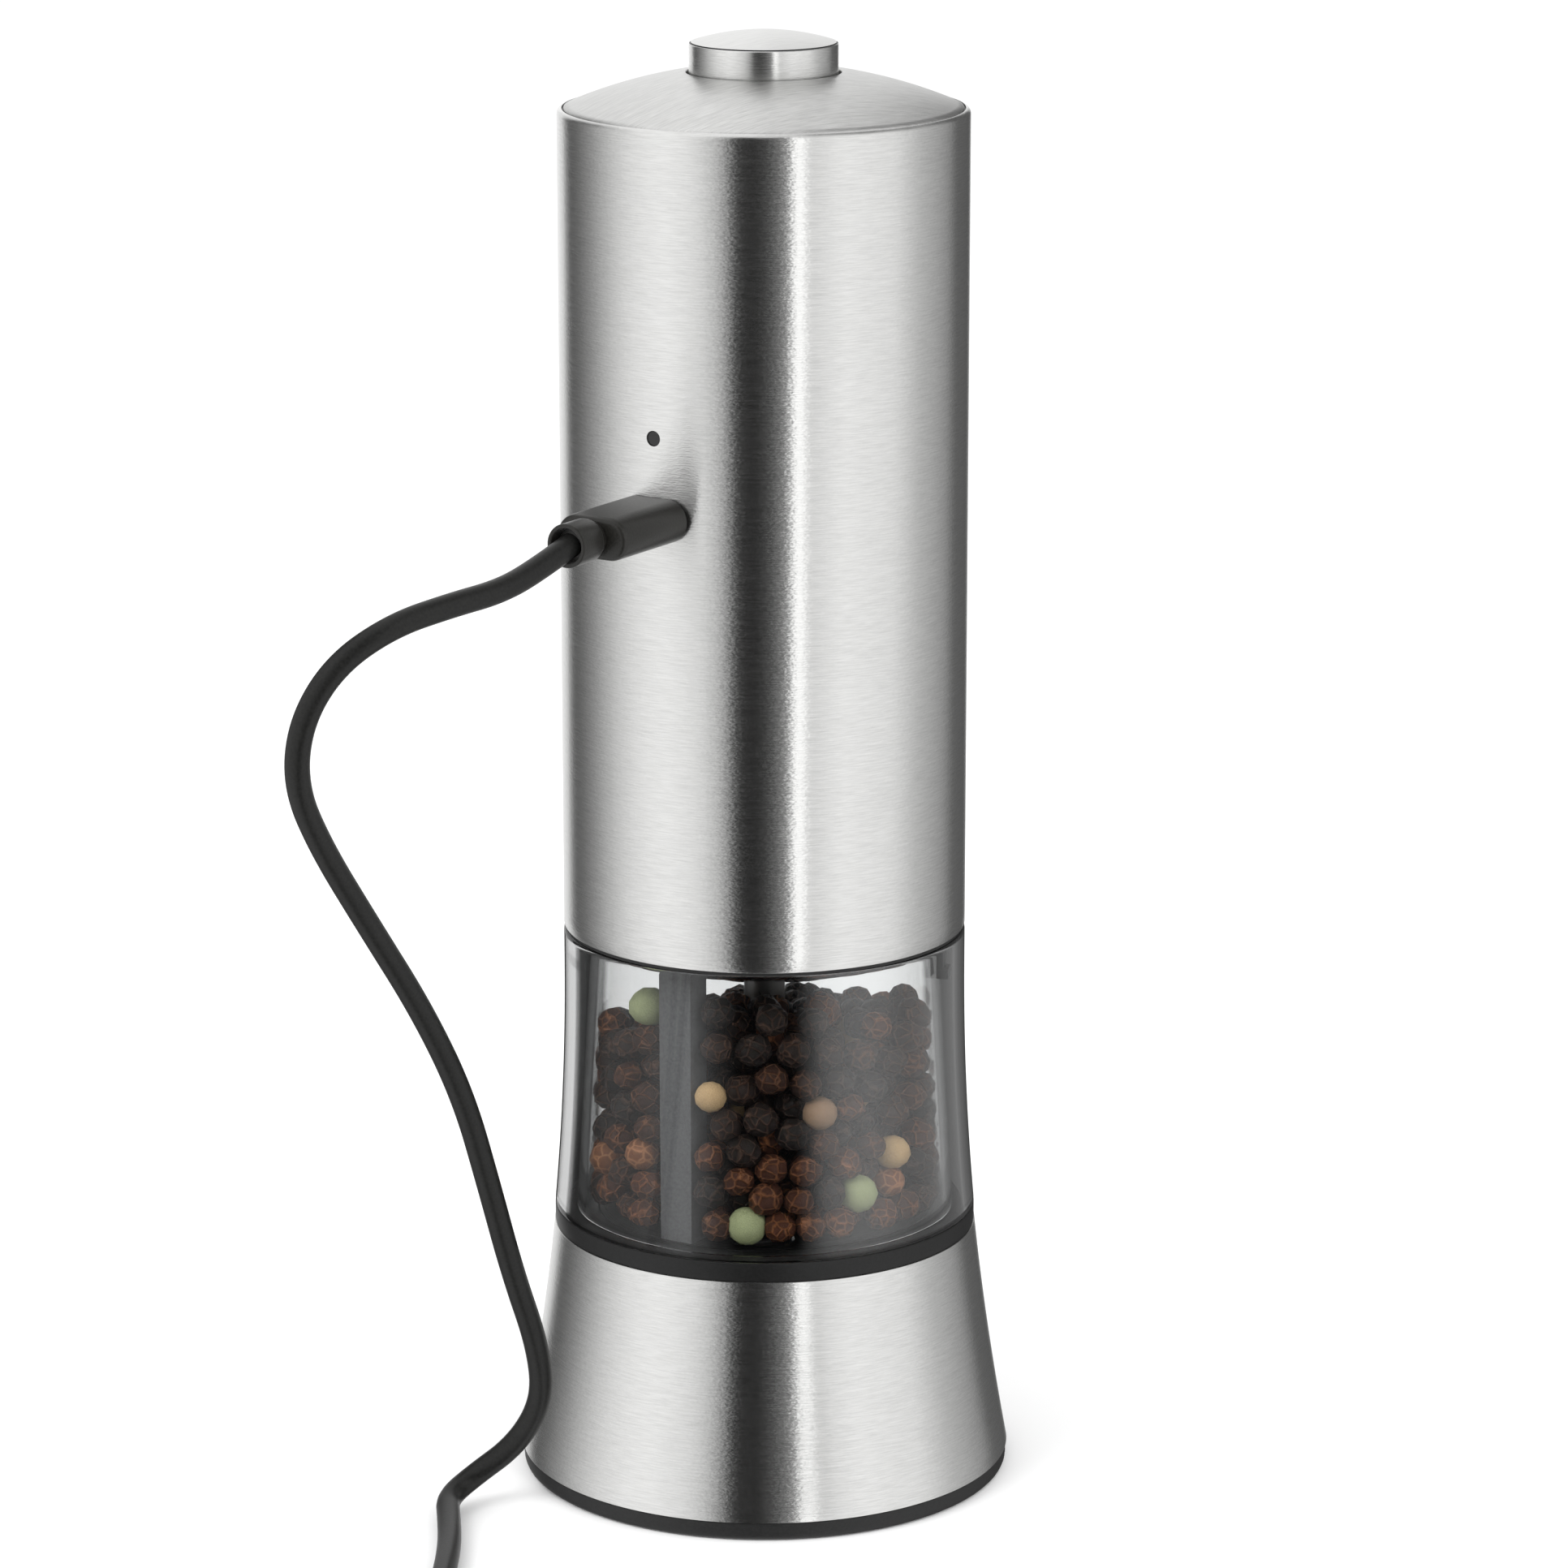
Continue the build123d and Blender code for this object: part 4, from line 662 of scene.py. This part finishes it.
def settle(count, seed):
    """Places and radii of all corns: the others are pushed apart round the larger ones and cut off at the top."""
    rng = np.random.default_rng(seed)
    fixed = larger_corns()
    radius = rng.uniform(2.25, 2.70, count)
    angle = rng.uniform(0, 2 * np.pi, count)
    reach = np.sqrt(rng.uniform(6.5 ** 2, 22.5 ** 2, count))
    p = np.stack([reach * np.cos(angle), reach * np.sin(angle), rng.uniform(43.5, 79.0, count)], 1)
    fixed = np.vstack([fixed, RESTING])
    p[:len(fixed)] = fixed
    radius[:len(fixed)] = CORN + 0.08
    for step in range(260):
        d = p[:, None, :] - p[None, :, :]
        gap = np.linalg.norm(d, axis=2)
        np.fill_diagonal(gap, 1e9)
        want = (radius[:, None] + radius[None, :]) * 0.985
        over = np.maximum(want - gap, 0.0)
        p += (d / np.maximum(gap, 1e-6)[:, :, None] * over[:, :, None]).sum(1) * 0.32
        if step < 220:
            p[:, 2] -= 0.05
        r = np.hypot(p[:, 0], p[:, 1])
        wall = liner_r(p[:, 2]) - radius - WALL_GAP
        core = SHAFT_CLEAR + radius
        keep = np.clip(r, core, wall) / np.maximum(r, 1e-6)
        p[:, :2] *= keep[:, None]
        near = (np.abs(p[:, 0]) < POST_SIDE + radius) & (p[:, 1] < -POST_BACK + radius)
        side = np.where(p[:, 0] >= 0, 1.0, -1.0)
        push = (POST_SIDE + radius - np.abs(p[:, 0])) < (p[:, 1] * -1 - POST_BACK + radius)
        p[near & push, 0] = (side * (POST_SIDE + radius))[near & push]
        p[near & ~push, 1] = (-POST_BACK + radius)[near & ~push]
        p[:, 2] = np.maximum(p[:, 2], CORN_FLOOR + radius)
        p[:len(fixed)] = fixed
    across, forward = p @ np.array(RIGHT), p @ np.array(TOWARDS)
    dip = np.where(forward > 6.0, 4.0 * np.exp(-((across + 13.0) / 4.5) ** 2), 0.0)
    rise = np.interp(across, (-11.0, -7.0, 5.0, 9.0), (1.2, 4.8, 4.8, 3.0))
    keep = p[:, 2] + radius < np.minimum(heap_level(p[:, 0], p[:, 1]) + rise, CORN_CEILING) - dip
    keep[:len(fixed)] = True
    return p[keep], radius[keep]


# Pale corns by their place in the picture (shares of its width and height from the top left) and their sort
BROWN, TAN, GREEN, RED = 0.25, 0.34, 0.67, 1.0
PALE = [
    (0.4560, 0.6962, TAN), (0.5290, 0.7050, BROWN), (0.5745, 0.7288, TAN),
    (0.4115, 0.6403, GREEN), (0.4752, 0.7811, GREEN), (0.5450, 0.7650, GREEN),
    (0.5590, 0.7490, RED), (0.3870, 0.7376, RED), (0.4110, 0.7415, RED),
]


def picture_place(p):
    """Place of a point in the camera's square picture, as shares from the top left."""
    seen = Matrix.LocRotScale(camera.location, camera.rotation_euler, None).inverted() @ Vector(p)
    scale = lens.lens / lens.sensor_width / -seen.z
    return 0.5 + seen.x * scale, 0.5 - seen.y * scale


def corn_sorts(positions, radii):
    """Sort of each corn: black, apart from the frontmost ones at the pale places and a few at random."""
    rng = np.random.default_rng(8)
    sorts = np.where(rng.random(len(positions)) < 0.05, rng.choice([TAN, GREEN, RED], len(positions)), 0.0)
    seen = np.array([picture_place(p * MM) for p in positions])
    r = np.hypot(positions[:, 0], positions[:, 1])
    front = (positions @ np.array(TOWARDS) > 0) & (r + radii > liner_r(positions[:, 2]) - 1.6)
    sorts[front] = 0.0
    for x, y, sort in PALE:
        far = np.hypot(seen[:, 0] - x, seen[:, 1] - y) + np.where(front & (sorts == 0.0), 0.0, 9.0)
        sorts[int(np.argmin(far))] = sort
    return sorts


def peppercorns():
    """All corns in one mesh, the black ones dented, each with its shade and sort."""
    positions, radii = settle(640, 11)
    kinds = corn_sorts(positions, radii)
    rng = np.random.default_rng(5)
    ball = bmesh.new()
    bmesh.ops.create_icosphere(ball, subdivisions=2, radius=1.0)
    plain = bpy.data.meshes.new("plain_corn")
    ball.to_mesh(plain)
    ball.free()
    bm = bmesh.new()
    shade_layer = bm.verts.layers.float.new("shade")
    sort_layer = bm.verts.layers.float.new("sort")
    for p, r, kind in zip(positions, radii, kinds):
        turn = Matrix.Rotation(rng.uniform(0, 6.28), 3, Vector(rng.normal(size=3)).normalized())
        bm.from_mesh(plain)
        bm.verts.ensure_lookup_table()
        corn = bm.verts[-len(plain.vertices):]
        shape = np.array([v.co[:] for v in corn]) @ np.array(turn).T
        if kind == 0.0:
            wave = rng.normal(size=(3, 3)) * 2.2
            phase = rng.uniform(0, 6.28, 3)
            dent = sum(np.sin(shape @ wave[i] * 1.6 + phase[i]) for i in range(3)) / 3
            shape = shape * (0.965 + 0.08 * dent + rng.normal(size=len(corn)) * 0.03)[:, None]
            shape[:, 2] *= rng.uniform(0.9, 1.04)
        elif kind == GREEN:
            r = GREEN_CORN
            p[:2] *= min(1.0, (liner_r(p[2]) - r - WALL_GAP) / math.hypot(p[0], p[1]))
        shade = rng.uniform(0.0, 1.0) ** 2.2
        for v, place in zip(corn, (shape * r + p) * MM):
            v.co = place
            v[shade_layer], v[sort_layer] = shade, kind
    bpy.data.meshes.remove(plain)
    return finish_mesh(bm, "peppercorns", "base", pepper_material(), 180)


def pepper_material():
    """Ridged black skin whose ridges are lighter than its dents, partly in the skin's own tone and partly as painted
    highlight, or a plain pale one, after each corn's sort.
    """
    m, t, b = new_material("peppercorn")
    shade = node(t, "ShaderNodeAttribute", attribute_name="shade").outputs["Fac"]
    sort = node(t, "ShaderNodeAttribute", attribute_name="sort").outputs["Fac"]
    vector = scaled_coords(t, (1, 1, 1))
    bend = node(t, "ShaderNodeVectorMath", operation="SCALE")
    bend.inputs["Scale"].default_value = 0.0004
    colour_noise = t.nodes.new("ShaderNodeTexNoise")
    colour_noise.inputs["Scale"].default_value = 900.0
    link(t, vector, colour_noise.inputs["Vector"])
    link(t, colour_noise.outputs["Color"], bend.inputs[0])
    shifted = node(t, "ShaderNodeVectorMath", operation="ADD")
    link(t, vector, shifted.inputs[0])
    link(t, bend.outputs[0], shifted.inputs[1])
    cells = node(t, "ShaderNodeTexVoronoi", feature="DISTANCE_TO_EDGE")
    cells.inputs["Scale"].default_value = 620.0
    link(t, shifted.outputs[0], cells.inputs["Vector"])
    # Ridge lines lighter than the dents on the black and the red corns: partly the skin's own tone, partly painted
    # highlight on the ridges.
    ridge = ramp(t, cells.outputs["Distance"], [(0.0, (1, 1, 1)), (0.045, (0.6, 0.6, 0.6)), (0.13, (0, 0, 0))])
    grain = noise(t, vector, 5200.0, 3.0)
    dark = mix_colour(t, shade, (0.014, 0.0115, 0.0105), (0.060, 0.020, 0.010))
    line = mix_colour(t, shade, (0.085, 0.055, 0.042), (0.34, 0.135, 0.055))
    black = mix_colour(t, math_node(t, "MULTIPLY", ridge, 0.85), dark, line)
    tan = mix_colour(t, grain, (0.36, 0.22, 0.10), (0.66, 0.48, 0.26))
    brown = mix_colour(t, grain, (0.19, 0.11, 0.06), (0.36, 0.24, 0.15))
    tan = mix_colour(t, math_node(t, "GREATER_THAN", sort, 0.3), brown, tan)
    green = mix_colour(t, grain, (0.20, 0.23, 0.11), (0.42, 0.46, 0.26))
    red = mix_colour(t, ridge, (0.16, 0.065, 0.03), (0.36, 0.17, 0.08))
    c = mix_colour(t, math_node(t, "GREATER_THAN", sort, 0.2), black, tan)
    c = mix_colour(t, math_node(t, "GREATER_THAN", sort, 0.5), c, green)
    c = mix_colour(t, math_node(t, "GREATER_THAN", sort, 0.8), c, red)
    link(t, c, b.inputs["Base Color"])
    b.inputs["Roughness"].default_value = 0.5
    b.inputs["Specular IOR Level"].default_value = 0.18
    rough_skin = math_node(t, "LESS_THAN", sort, 0.2)
    ridges = math_node(t, "MULTIPLY", ridge, rough_skin)
    height = math_node(t, "ADD", ridges, math_node(t, "MULTIPLY", grain, 0.25))
    link(t, bump(t, height, 0.9, 0.0005), b.inputs["Normal"])
    return m


pepper = peppercorns()
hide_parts("pepper_heap")


# Charging plug: moulded grip and its relief, along -Y from the port

GRIP_WIDTH, GRIP_HEIGHT = 11.3, 6.0


def plug_grip():
    """Stadium section drawn out along the port's axis, its outer end rounded."""
    half = (GRIP_WIDTH - GRIP_HEIGHT) / 2
    sections = [(29.2, -0.25), (29.35, 0.0), (31.0, 0.0), (43.9, 0.0), (44.4, -0.12), (44.68, -0.36), (44.8, -0.75)]
    bm = bmesh.new()
    sides = 48
    offset = Matrix.Rotation(math.pi / sides, 4, "Z")
    loop = bmesh.ops.create_circle(bm, segments=sides, radius=1.0, matrix=offset)["verts"]
    outward = {v: v.co.xy.normalized() for v in loop}
    bm.faces.new(loop)
    for i, (y, grow) in enumerate(sections):
        if i:
            edges = [e for e in bm.edges if all(v in outward for v in e.verts)]
            made = bmesh.ops.extrude_edge_only(bm, edges=edges)["geom"]
            fresh = [g for g in made if isinstance(g, bmesh.types.BMVert)]
            outward = {v: (v.co.xz - Vector((math.copysign(half, v.co.x), 0))).normalized() for v in fresh}
        for v, way in outward.items():
            reach = way * (GRIP_HEIGHT / 2 + grow)
            v.co = (reach.x + math.copysign(half, way.x), -y, reach.y)
    bm.faces.new(list(outward))
    bmesh.ops.translate(bm, verts=bm.verts, vec=(0, 0, PORT_Z))
    bmesh.ops.scale(bm, verts=bm.verts, vec=(MM, MM, MM))
    return finish_mesh(bm, "grip_shape", "cable", M_GRIP, 50)


grip = plug_grip()
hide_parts("plug_grip")


def plug_relief():
    """Collar behind the grip, hollow where the cord leaves it."""
    points = rounded(
        [(0, 44.6), (2.5, 44.6), (2.5, 46.0), (3.05, 46.0), (3.05, 50.9), (2.45, 50.9), (2.3, 48.95), (0, 48.95)],
        [0, 0, 0.1, 0.25, 0.22, 0.2, 0, 0],
    )
    bm = bmesh.new()
    spun(bm, points, 64)
    bmesh.ops.rotate(bm, verts=bm.verts, cent=(0, 0, 0), matrix=Matrix.Rotation(math.radians(90), 3, "X"))
    bmesh.ops.translate(bm, verts=bm.verts, vec=(0, 0, PORT_Z * MM))
    return finish_mesh(bm, "relief_shape", "cable", M_GRIP, 50)


relief = plug_relief()
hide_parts("plug_relief")


# Cord: one curve from the relief along the floor, through its coil, to the outlet plug

LEAD = [
    (0, -49.5, 146.3), (-0.5, -57.6, 144.0), (-1.3, -65.0, 142.5), (-3.0, -73.6, 142.1), (-6.4, -82.6, 140.6),
    (-11.0, -89.0, 136.0), (-14.6, -91.9, 128.5), (-16.3, -91.2, 119.5), (-16.4, -85.5, 109.8), (-14.7, -77.5, 97.5),
    (-12.4, -68.5, 83.5), (-11.4, -60.5, 69.5), (-11.9, -53.8, 54.5), (-12.4, -47.6, 40.0), (-12.2, -41.6, 27.0),
    (-14.0, -37.9, 17.5), (-19.3, -37.0, 9.4), (-25.2, -39.6, 4.2), (-26.3, -44.6, 2.2), (-22.4, -49.8, 1.8),
    (-17.1, -57.2, 1.7), (-12.0, -65.6, 1.75), (-6.0, -76.6, 1.7), (1.0, -87.9, 2.1),
]
COIL, OUTER_TURN, INNER_TURN, TOP_TURN, COIL_Z, COIL_RISE = (26.1, -87.2), 21.2, 17.8, 19.5, 2.35, 2.95
OUTLET_RUN = Vector((math.cos(TURN), math.sin(TURN), 0))


def coil_points():
    """Two turns side by side on the table and the end lying on top of them."""
    points = []
    start, turns, steps = 211.5, 2.25, 40
    for i in range(steps + 1):
        t = turns * i / steps
        r = np.interp(t, (0.85, 1.15, 1.85, 2.1), (OUTER_TURN, INNER_TURN, INNER_TURN, TOP_TURN))
        z = np.interp(t, (1.85, 2.1), (COIL_Z, COIL_Z + COIL_RISE))
        a = math.radians(start + 360 * t)
        points.append((COIL[0] + r * math.cos(a), COIL[1] + r * math.sin(a), z))
    return points


KNEE = Vector((54.81, -92.63, 3.8))
TAIL = [(43.2, -99.7, 5.6), (49.31, -95.93, 4.8), tuple(KNEE), tuple(KNEE + OUTLET_RUN * 6.4)]


def cord_curve(name, points, radius, material):
    """Round cord along a curve, in millimetres."""
    data = bpy.data.curves.new(name, "CURVE")
    data.dimensions = "3D"
    data.bevel_depth = radius * MM
    data.bevel_resolution = 8
    data.resolution_u = 10
    data.use_fill_caps = True
    line = data.splines.new("NURBS")
    line.points.add(len(points) - 1)
    for p, co in zip(line.points, points):
        p.co = (co[0] * MM, co[1] * MM, co[2] * MM, 1)
    line.order_u = 3
    line.use_endpoint_u = True
    data.materials.append(material)
    obj = bpy.data.objects.new(name, data)
    scene.collection.objects.link(obj)
    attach(obj, "cable")
    return obj


route = LEAD + coil_points() + TAIL
cord = cord_curve("cord", route, 1.7, M_CORD)
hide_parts("cord_lead", "cord_coil", "cord_tail")
cord.visible_glossy = False


def curve_length(points, samples=24):
    """Length of a clamped quadratic spline through its control points' polygon."""
    pts = [Vector(p) for p in points]
    total, last = 0.0, None
    for i in range(1, len(pts) - 1):
        a = pts[0] if i == 1 else (pts[i - 1] + pts[i]) / 2
        b = pts[-1] if i == len(pts) - 2 else (pts[i] + pts[i + 1]) / 2
        for k in range(samples + 1):
            t = k / samples
            p = (1 - t) ** 2 * a + 2 * t * (1 - t) * pts[i] + t * t * b
            if last is not None:
                total += (p - last).length
            last = p
    return total * MM


# Materials of the CAD nodes that show as they are

FINISH = {
    "black_plastic": M_BLACK, "grey_plastic": M_GREY, "gear_nylon": M_NYLON, "black_rubber": M_RUBBER,
    "cord_rubber": M_CORD, "burr_ceramic": M_CERAMIC, "plain_steel": M_STEEL, "bush_brass": M_BRASS,
    "motor_steel": M_MOTOR, "cell_wrap": M_CELL, "board_green": M_BOARD, "lamp_plastic": M_LAMP,
    "brushed_steel": M_SLEEVE, "clear_acrylic": M_CLEAR, "peppercorn": M_BLACK,
}
for part in frame["record"]["subparts"]:
    obj = frame["nodes"][part["node"]]
    obj.data.materials.clear()
    obj.data.materials.append(FINISH[part["material_slot"]])

# The button's spring: a merged copy of its mesh that rides the button

bm = bmesh.new()
bm.from_mesh(frame["nodes"]["button_spring"].data)
spring = finish_mesh(bm, "spring_coil", "button", M_STEEL)
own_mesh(spring)
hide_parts("button_spring")

round(curve_length(route), 4)


# Stage: white floor, a ring of soft boxes and dark flags that only the steel and the clear hopper see, and two lights

paint, _, b = new_material("floor")
b.inputs["Base Color"].default_value = (0.93, 0.93, 0.93, 1)
b.inputs["Roughness"].default_value = 0.9
b.inputs["Specular IOR Level"].default_value = 0.1
bm = bmesh.new()
bmesh.ops.create_grid(bm, x_segments=1, y_segments=1, size=6.0)
floor = finish_mesh(bm, "floor", None, paint)
floor.visible_glossy = False
floor.visible_transmission = False

RING_RADIUS, RING_FOOT, RING_TOP = 0.2, -0.6, 1.2
HIGH_FROM, HIGH_TO = 0.30, 0.42

# Strips of the ring: direction seen by the mill's wall, in degrees from the camera, and brightness
LOW_RING = [
    (-176, 1.10), (-150, 0.80), (-145, 0.35), (-137, 0.10), (-124, 0.20), (-112, 0.36), (-105, 0.50),
    (-91, 0.79), (-79, 1.00), (-67, 1.12), (-57, 1.16), (-47, 1.08), (-37, 0.96), (-29, 0.76),
    (-21, 0.40), (-16.5, 0.06), (-12, 0.02), (-4, 0.02), (3, 0.07), (11, 0.22), (15, 0.34), (16.5, 1.60),
    (22.5, 1.55), (24.5, 0.84), (30, 0.96), (46, 1.14), (78, 1.00), (97, 0.64), (124, 0.36),
    (135, 0.15), (165, 0.10), (175, 1.05),
]
HIGH_RING = [(-178, 1.1), (-120, 1.15), (-60, 1.15), (0, 0.85), (60, 0.62), (110, 0.22), (135, 0.22), (160, 0.85)]
HOPPER_RING = [
    (-166, 0.05), (-163, 0.65), (-141, 0.65), (-137, 0.05), (-121, 0.05), (-105, 0.15),
    (-91, 0.20), (-79, 0.24), (-67, 0.38), (-57, 0.38), (-47, 0.48), (-37, 0.32), (-28, 0.11), (-16, 0.01),
    (20, 0.01), (27, 0.22), (36, 0.60), (46, 0.78), (56, 0.88), (66, 0.86), (78, 0.72), (90, 0.52),
    (103, 0.40), (126, 0.32), (145, 0.24), (149, 0.15), (165, 0.10), (171, 0.06),
]
# Share of those strips that is left for rays that have passed the liner's wall, and the backdrop seen through it
LINER_SHADE = [(-126, 0.08), (-121, 1.0)]
BACKDROP = [(-167, 1.0), (-163, 0.0), (163, 0.0), (167, 1.0)]


def ring_stop(angle, value):
    """Place of a strip on the ring for a wall of the head's radius, as a share of the full turn."""
    shift = math.asin(BODY * MM / RING_RADIUS * math.sin(math.radians(angle / 2)))
    return (angle - math.degrees(shift) + 180) / 360, (value, value, value)


def ring_material(name):
    """Glow round the ring: one set of strips for the steel, another at its top, and one for the clear hopper."""
    m = bpy.data.materials.new(name)
    m.use_nodes = True
    t = m.node_tree
    t.nodes.clear()
    coords = t.nodes.new("ShaderNodeTexCoord")
    split = t.nodes.new("ShaderNodeSeparateXYZ")
    link(t, coords.outputs["Object"], split.inputs[0])
    angle = math_node(t, "ARCTAN2", split.outputs[0], math_node(t, "MULTIPLY", split.outputs[1], -1.0))
    place = math_node(t, "ADD", math_node(t, "MULTIPLY", angle, 1 / (2 * math.pi)), 0.5)
    low, high, clear, shade, back = (
        ramp(t, place, [ring_stop(a, v) for a, v in stops])
        for stops in (LOW_RING, HIGH_RING, HOPPER_RING, LINER_SHADE, BACKDROP)
    )
    rise = node(t, "ShaderNodeMapRange")
    rise.inputs["From Min"].default_value = HIGH_FROM
    rise.inputs["From Max"].default_value = HIGH_TO
    link(t, split.outputs[2], rise.inputs["Value"])
    paths = t.nodes.new("ShaderNodeLightPath")
    walls = paths.outputs["Transmission Depth"]
    past_liner = math_node(t, "GREATER_THAN", walls, 3.5)
    right_through = math_node(t, "GREATER_THAN", walls, 7.5)
    steel = mix_colour(t, rise.outputs[0], low, high)
    hopper = mix_colour(t, past_liner, clear, shade, "MULTIPLY")
    hopper = mix_colour(t, right_through, hopper, back, "ADD")
    glow = t.nodes.new("ShaderNodeEmission")
    link(t, mix_colour(t, paths.outputs["Is Singular Ray"], steel, hopper), glow.inputs[0])
    out = t.nodes.new("ShaderNodeOutputMaterial")
    link(t, glow.outputs[0], out.inputs[0])
    return m


def soft_boxes(name):
    """Open ring round the mill that only reflections and views through the hopper see."""
    bm = bmesh.new()
    middle = Matrix.Translation((0, 0, (RING_FOOT + RING_TOP) / 2))
    bmesh.ops.create_cone(
        bm, cap_ends=False, segments=128, radius1=RING_RADIUS, radius2=RING_RADIUS, depth=RING_TOP - RING_FOOT,
        matrix=middle,
    )
    ring = finish_mesh(bm, name, None, ring_material(name))
    ring.rotation_euler = (0, 0, TURN)
    ring.visible_camera = False
    ring.visible_diffuse = False
    ring.visible_shadow = False
    return ring


boxes = soft_boxes("soft_boxes")

world = bpy.data.worlds.new("studio")
world.use_nodes = True
world.node_tree.nodes["Background"].inputs[0].default_value = (1, 1, 1, 1)
world.node_tree.nodes["Background"].inputs[1].default_value = 1.1
scene.world = world


def area(name, place, aim, size, power):
    """Soft light that reflections don't show."""
    data = bpy.data.lights.new(name, "AREA")
    data.shape = "RECTANGLE"
    data.size, data.size_y = size
    data.energy = power
    obj = bpy.data.objects.new(name, data)
    obj.location = place
    obj.rotation_euler = (Vector(aim) - Vector(place)).to_track_quat("-Z", "Y").to_euler()
    obj.visible_glossy = False
    scene.collection.objects.link(obj)


area("left_box", TOWARDS * 0.7 - RIGHT * 0.9 + Vector((0, 0, 0.9)), (0, 0, 0.1), (0.7, 0.9), 9)
area("right_box", TOWARDS * 0.9 + RIGHT * 0.8 + Vector((0, 0, 0.8)), (0, 0, 0.08), (0.6, 0.8), 6)
scene.view_settings.view_transform = "Standard"
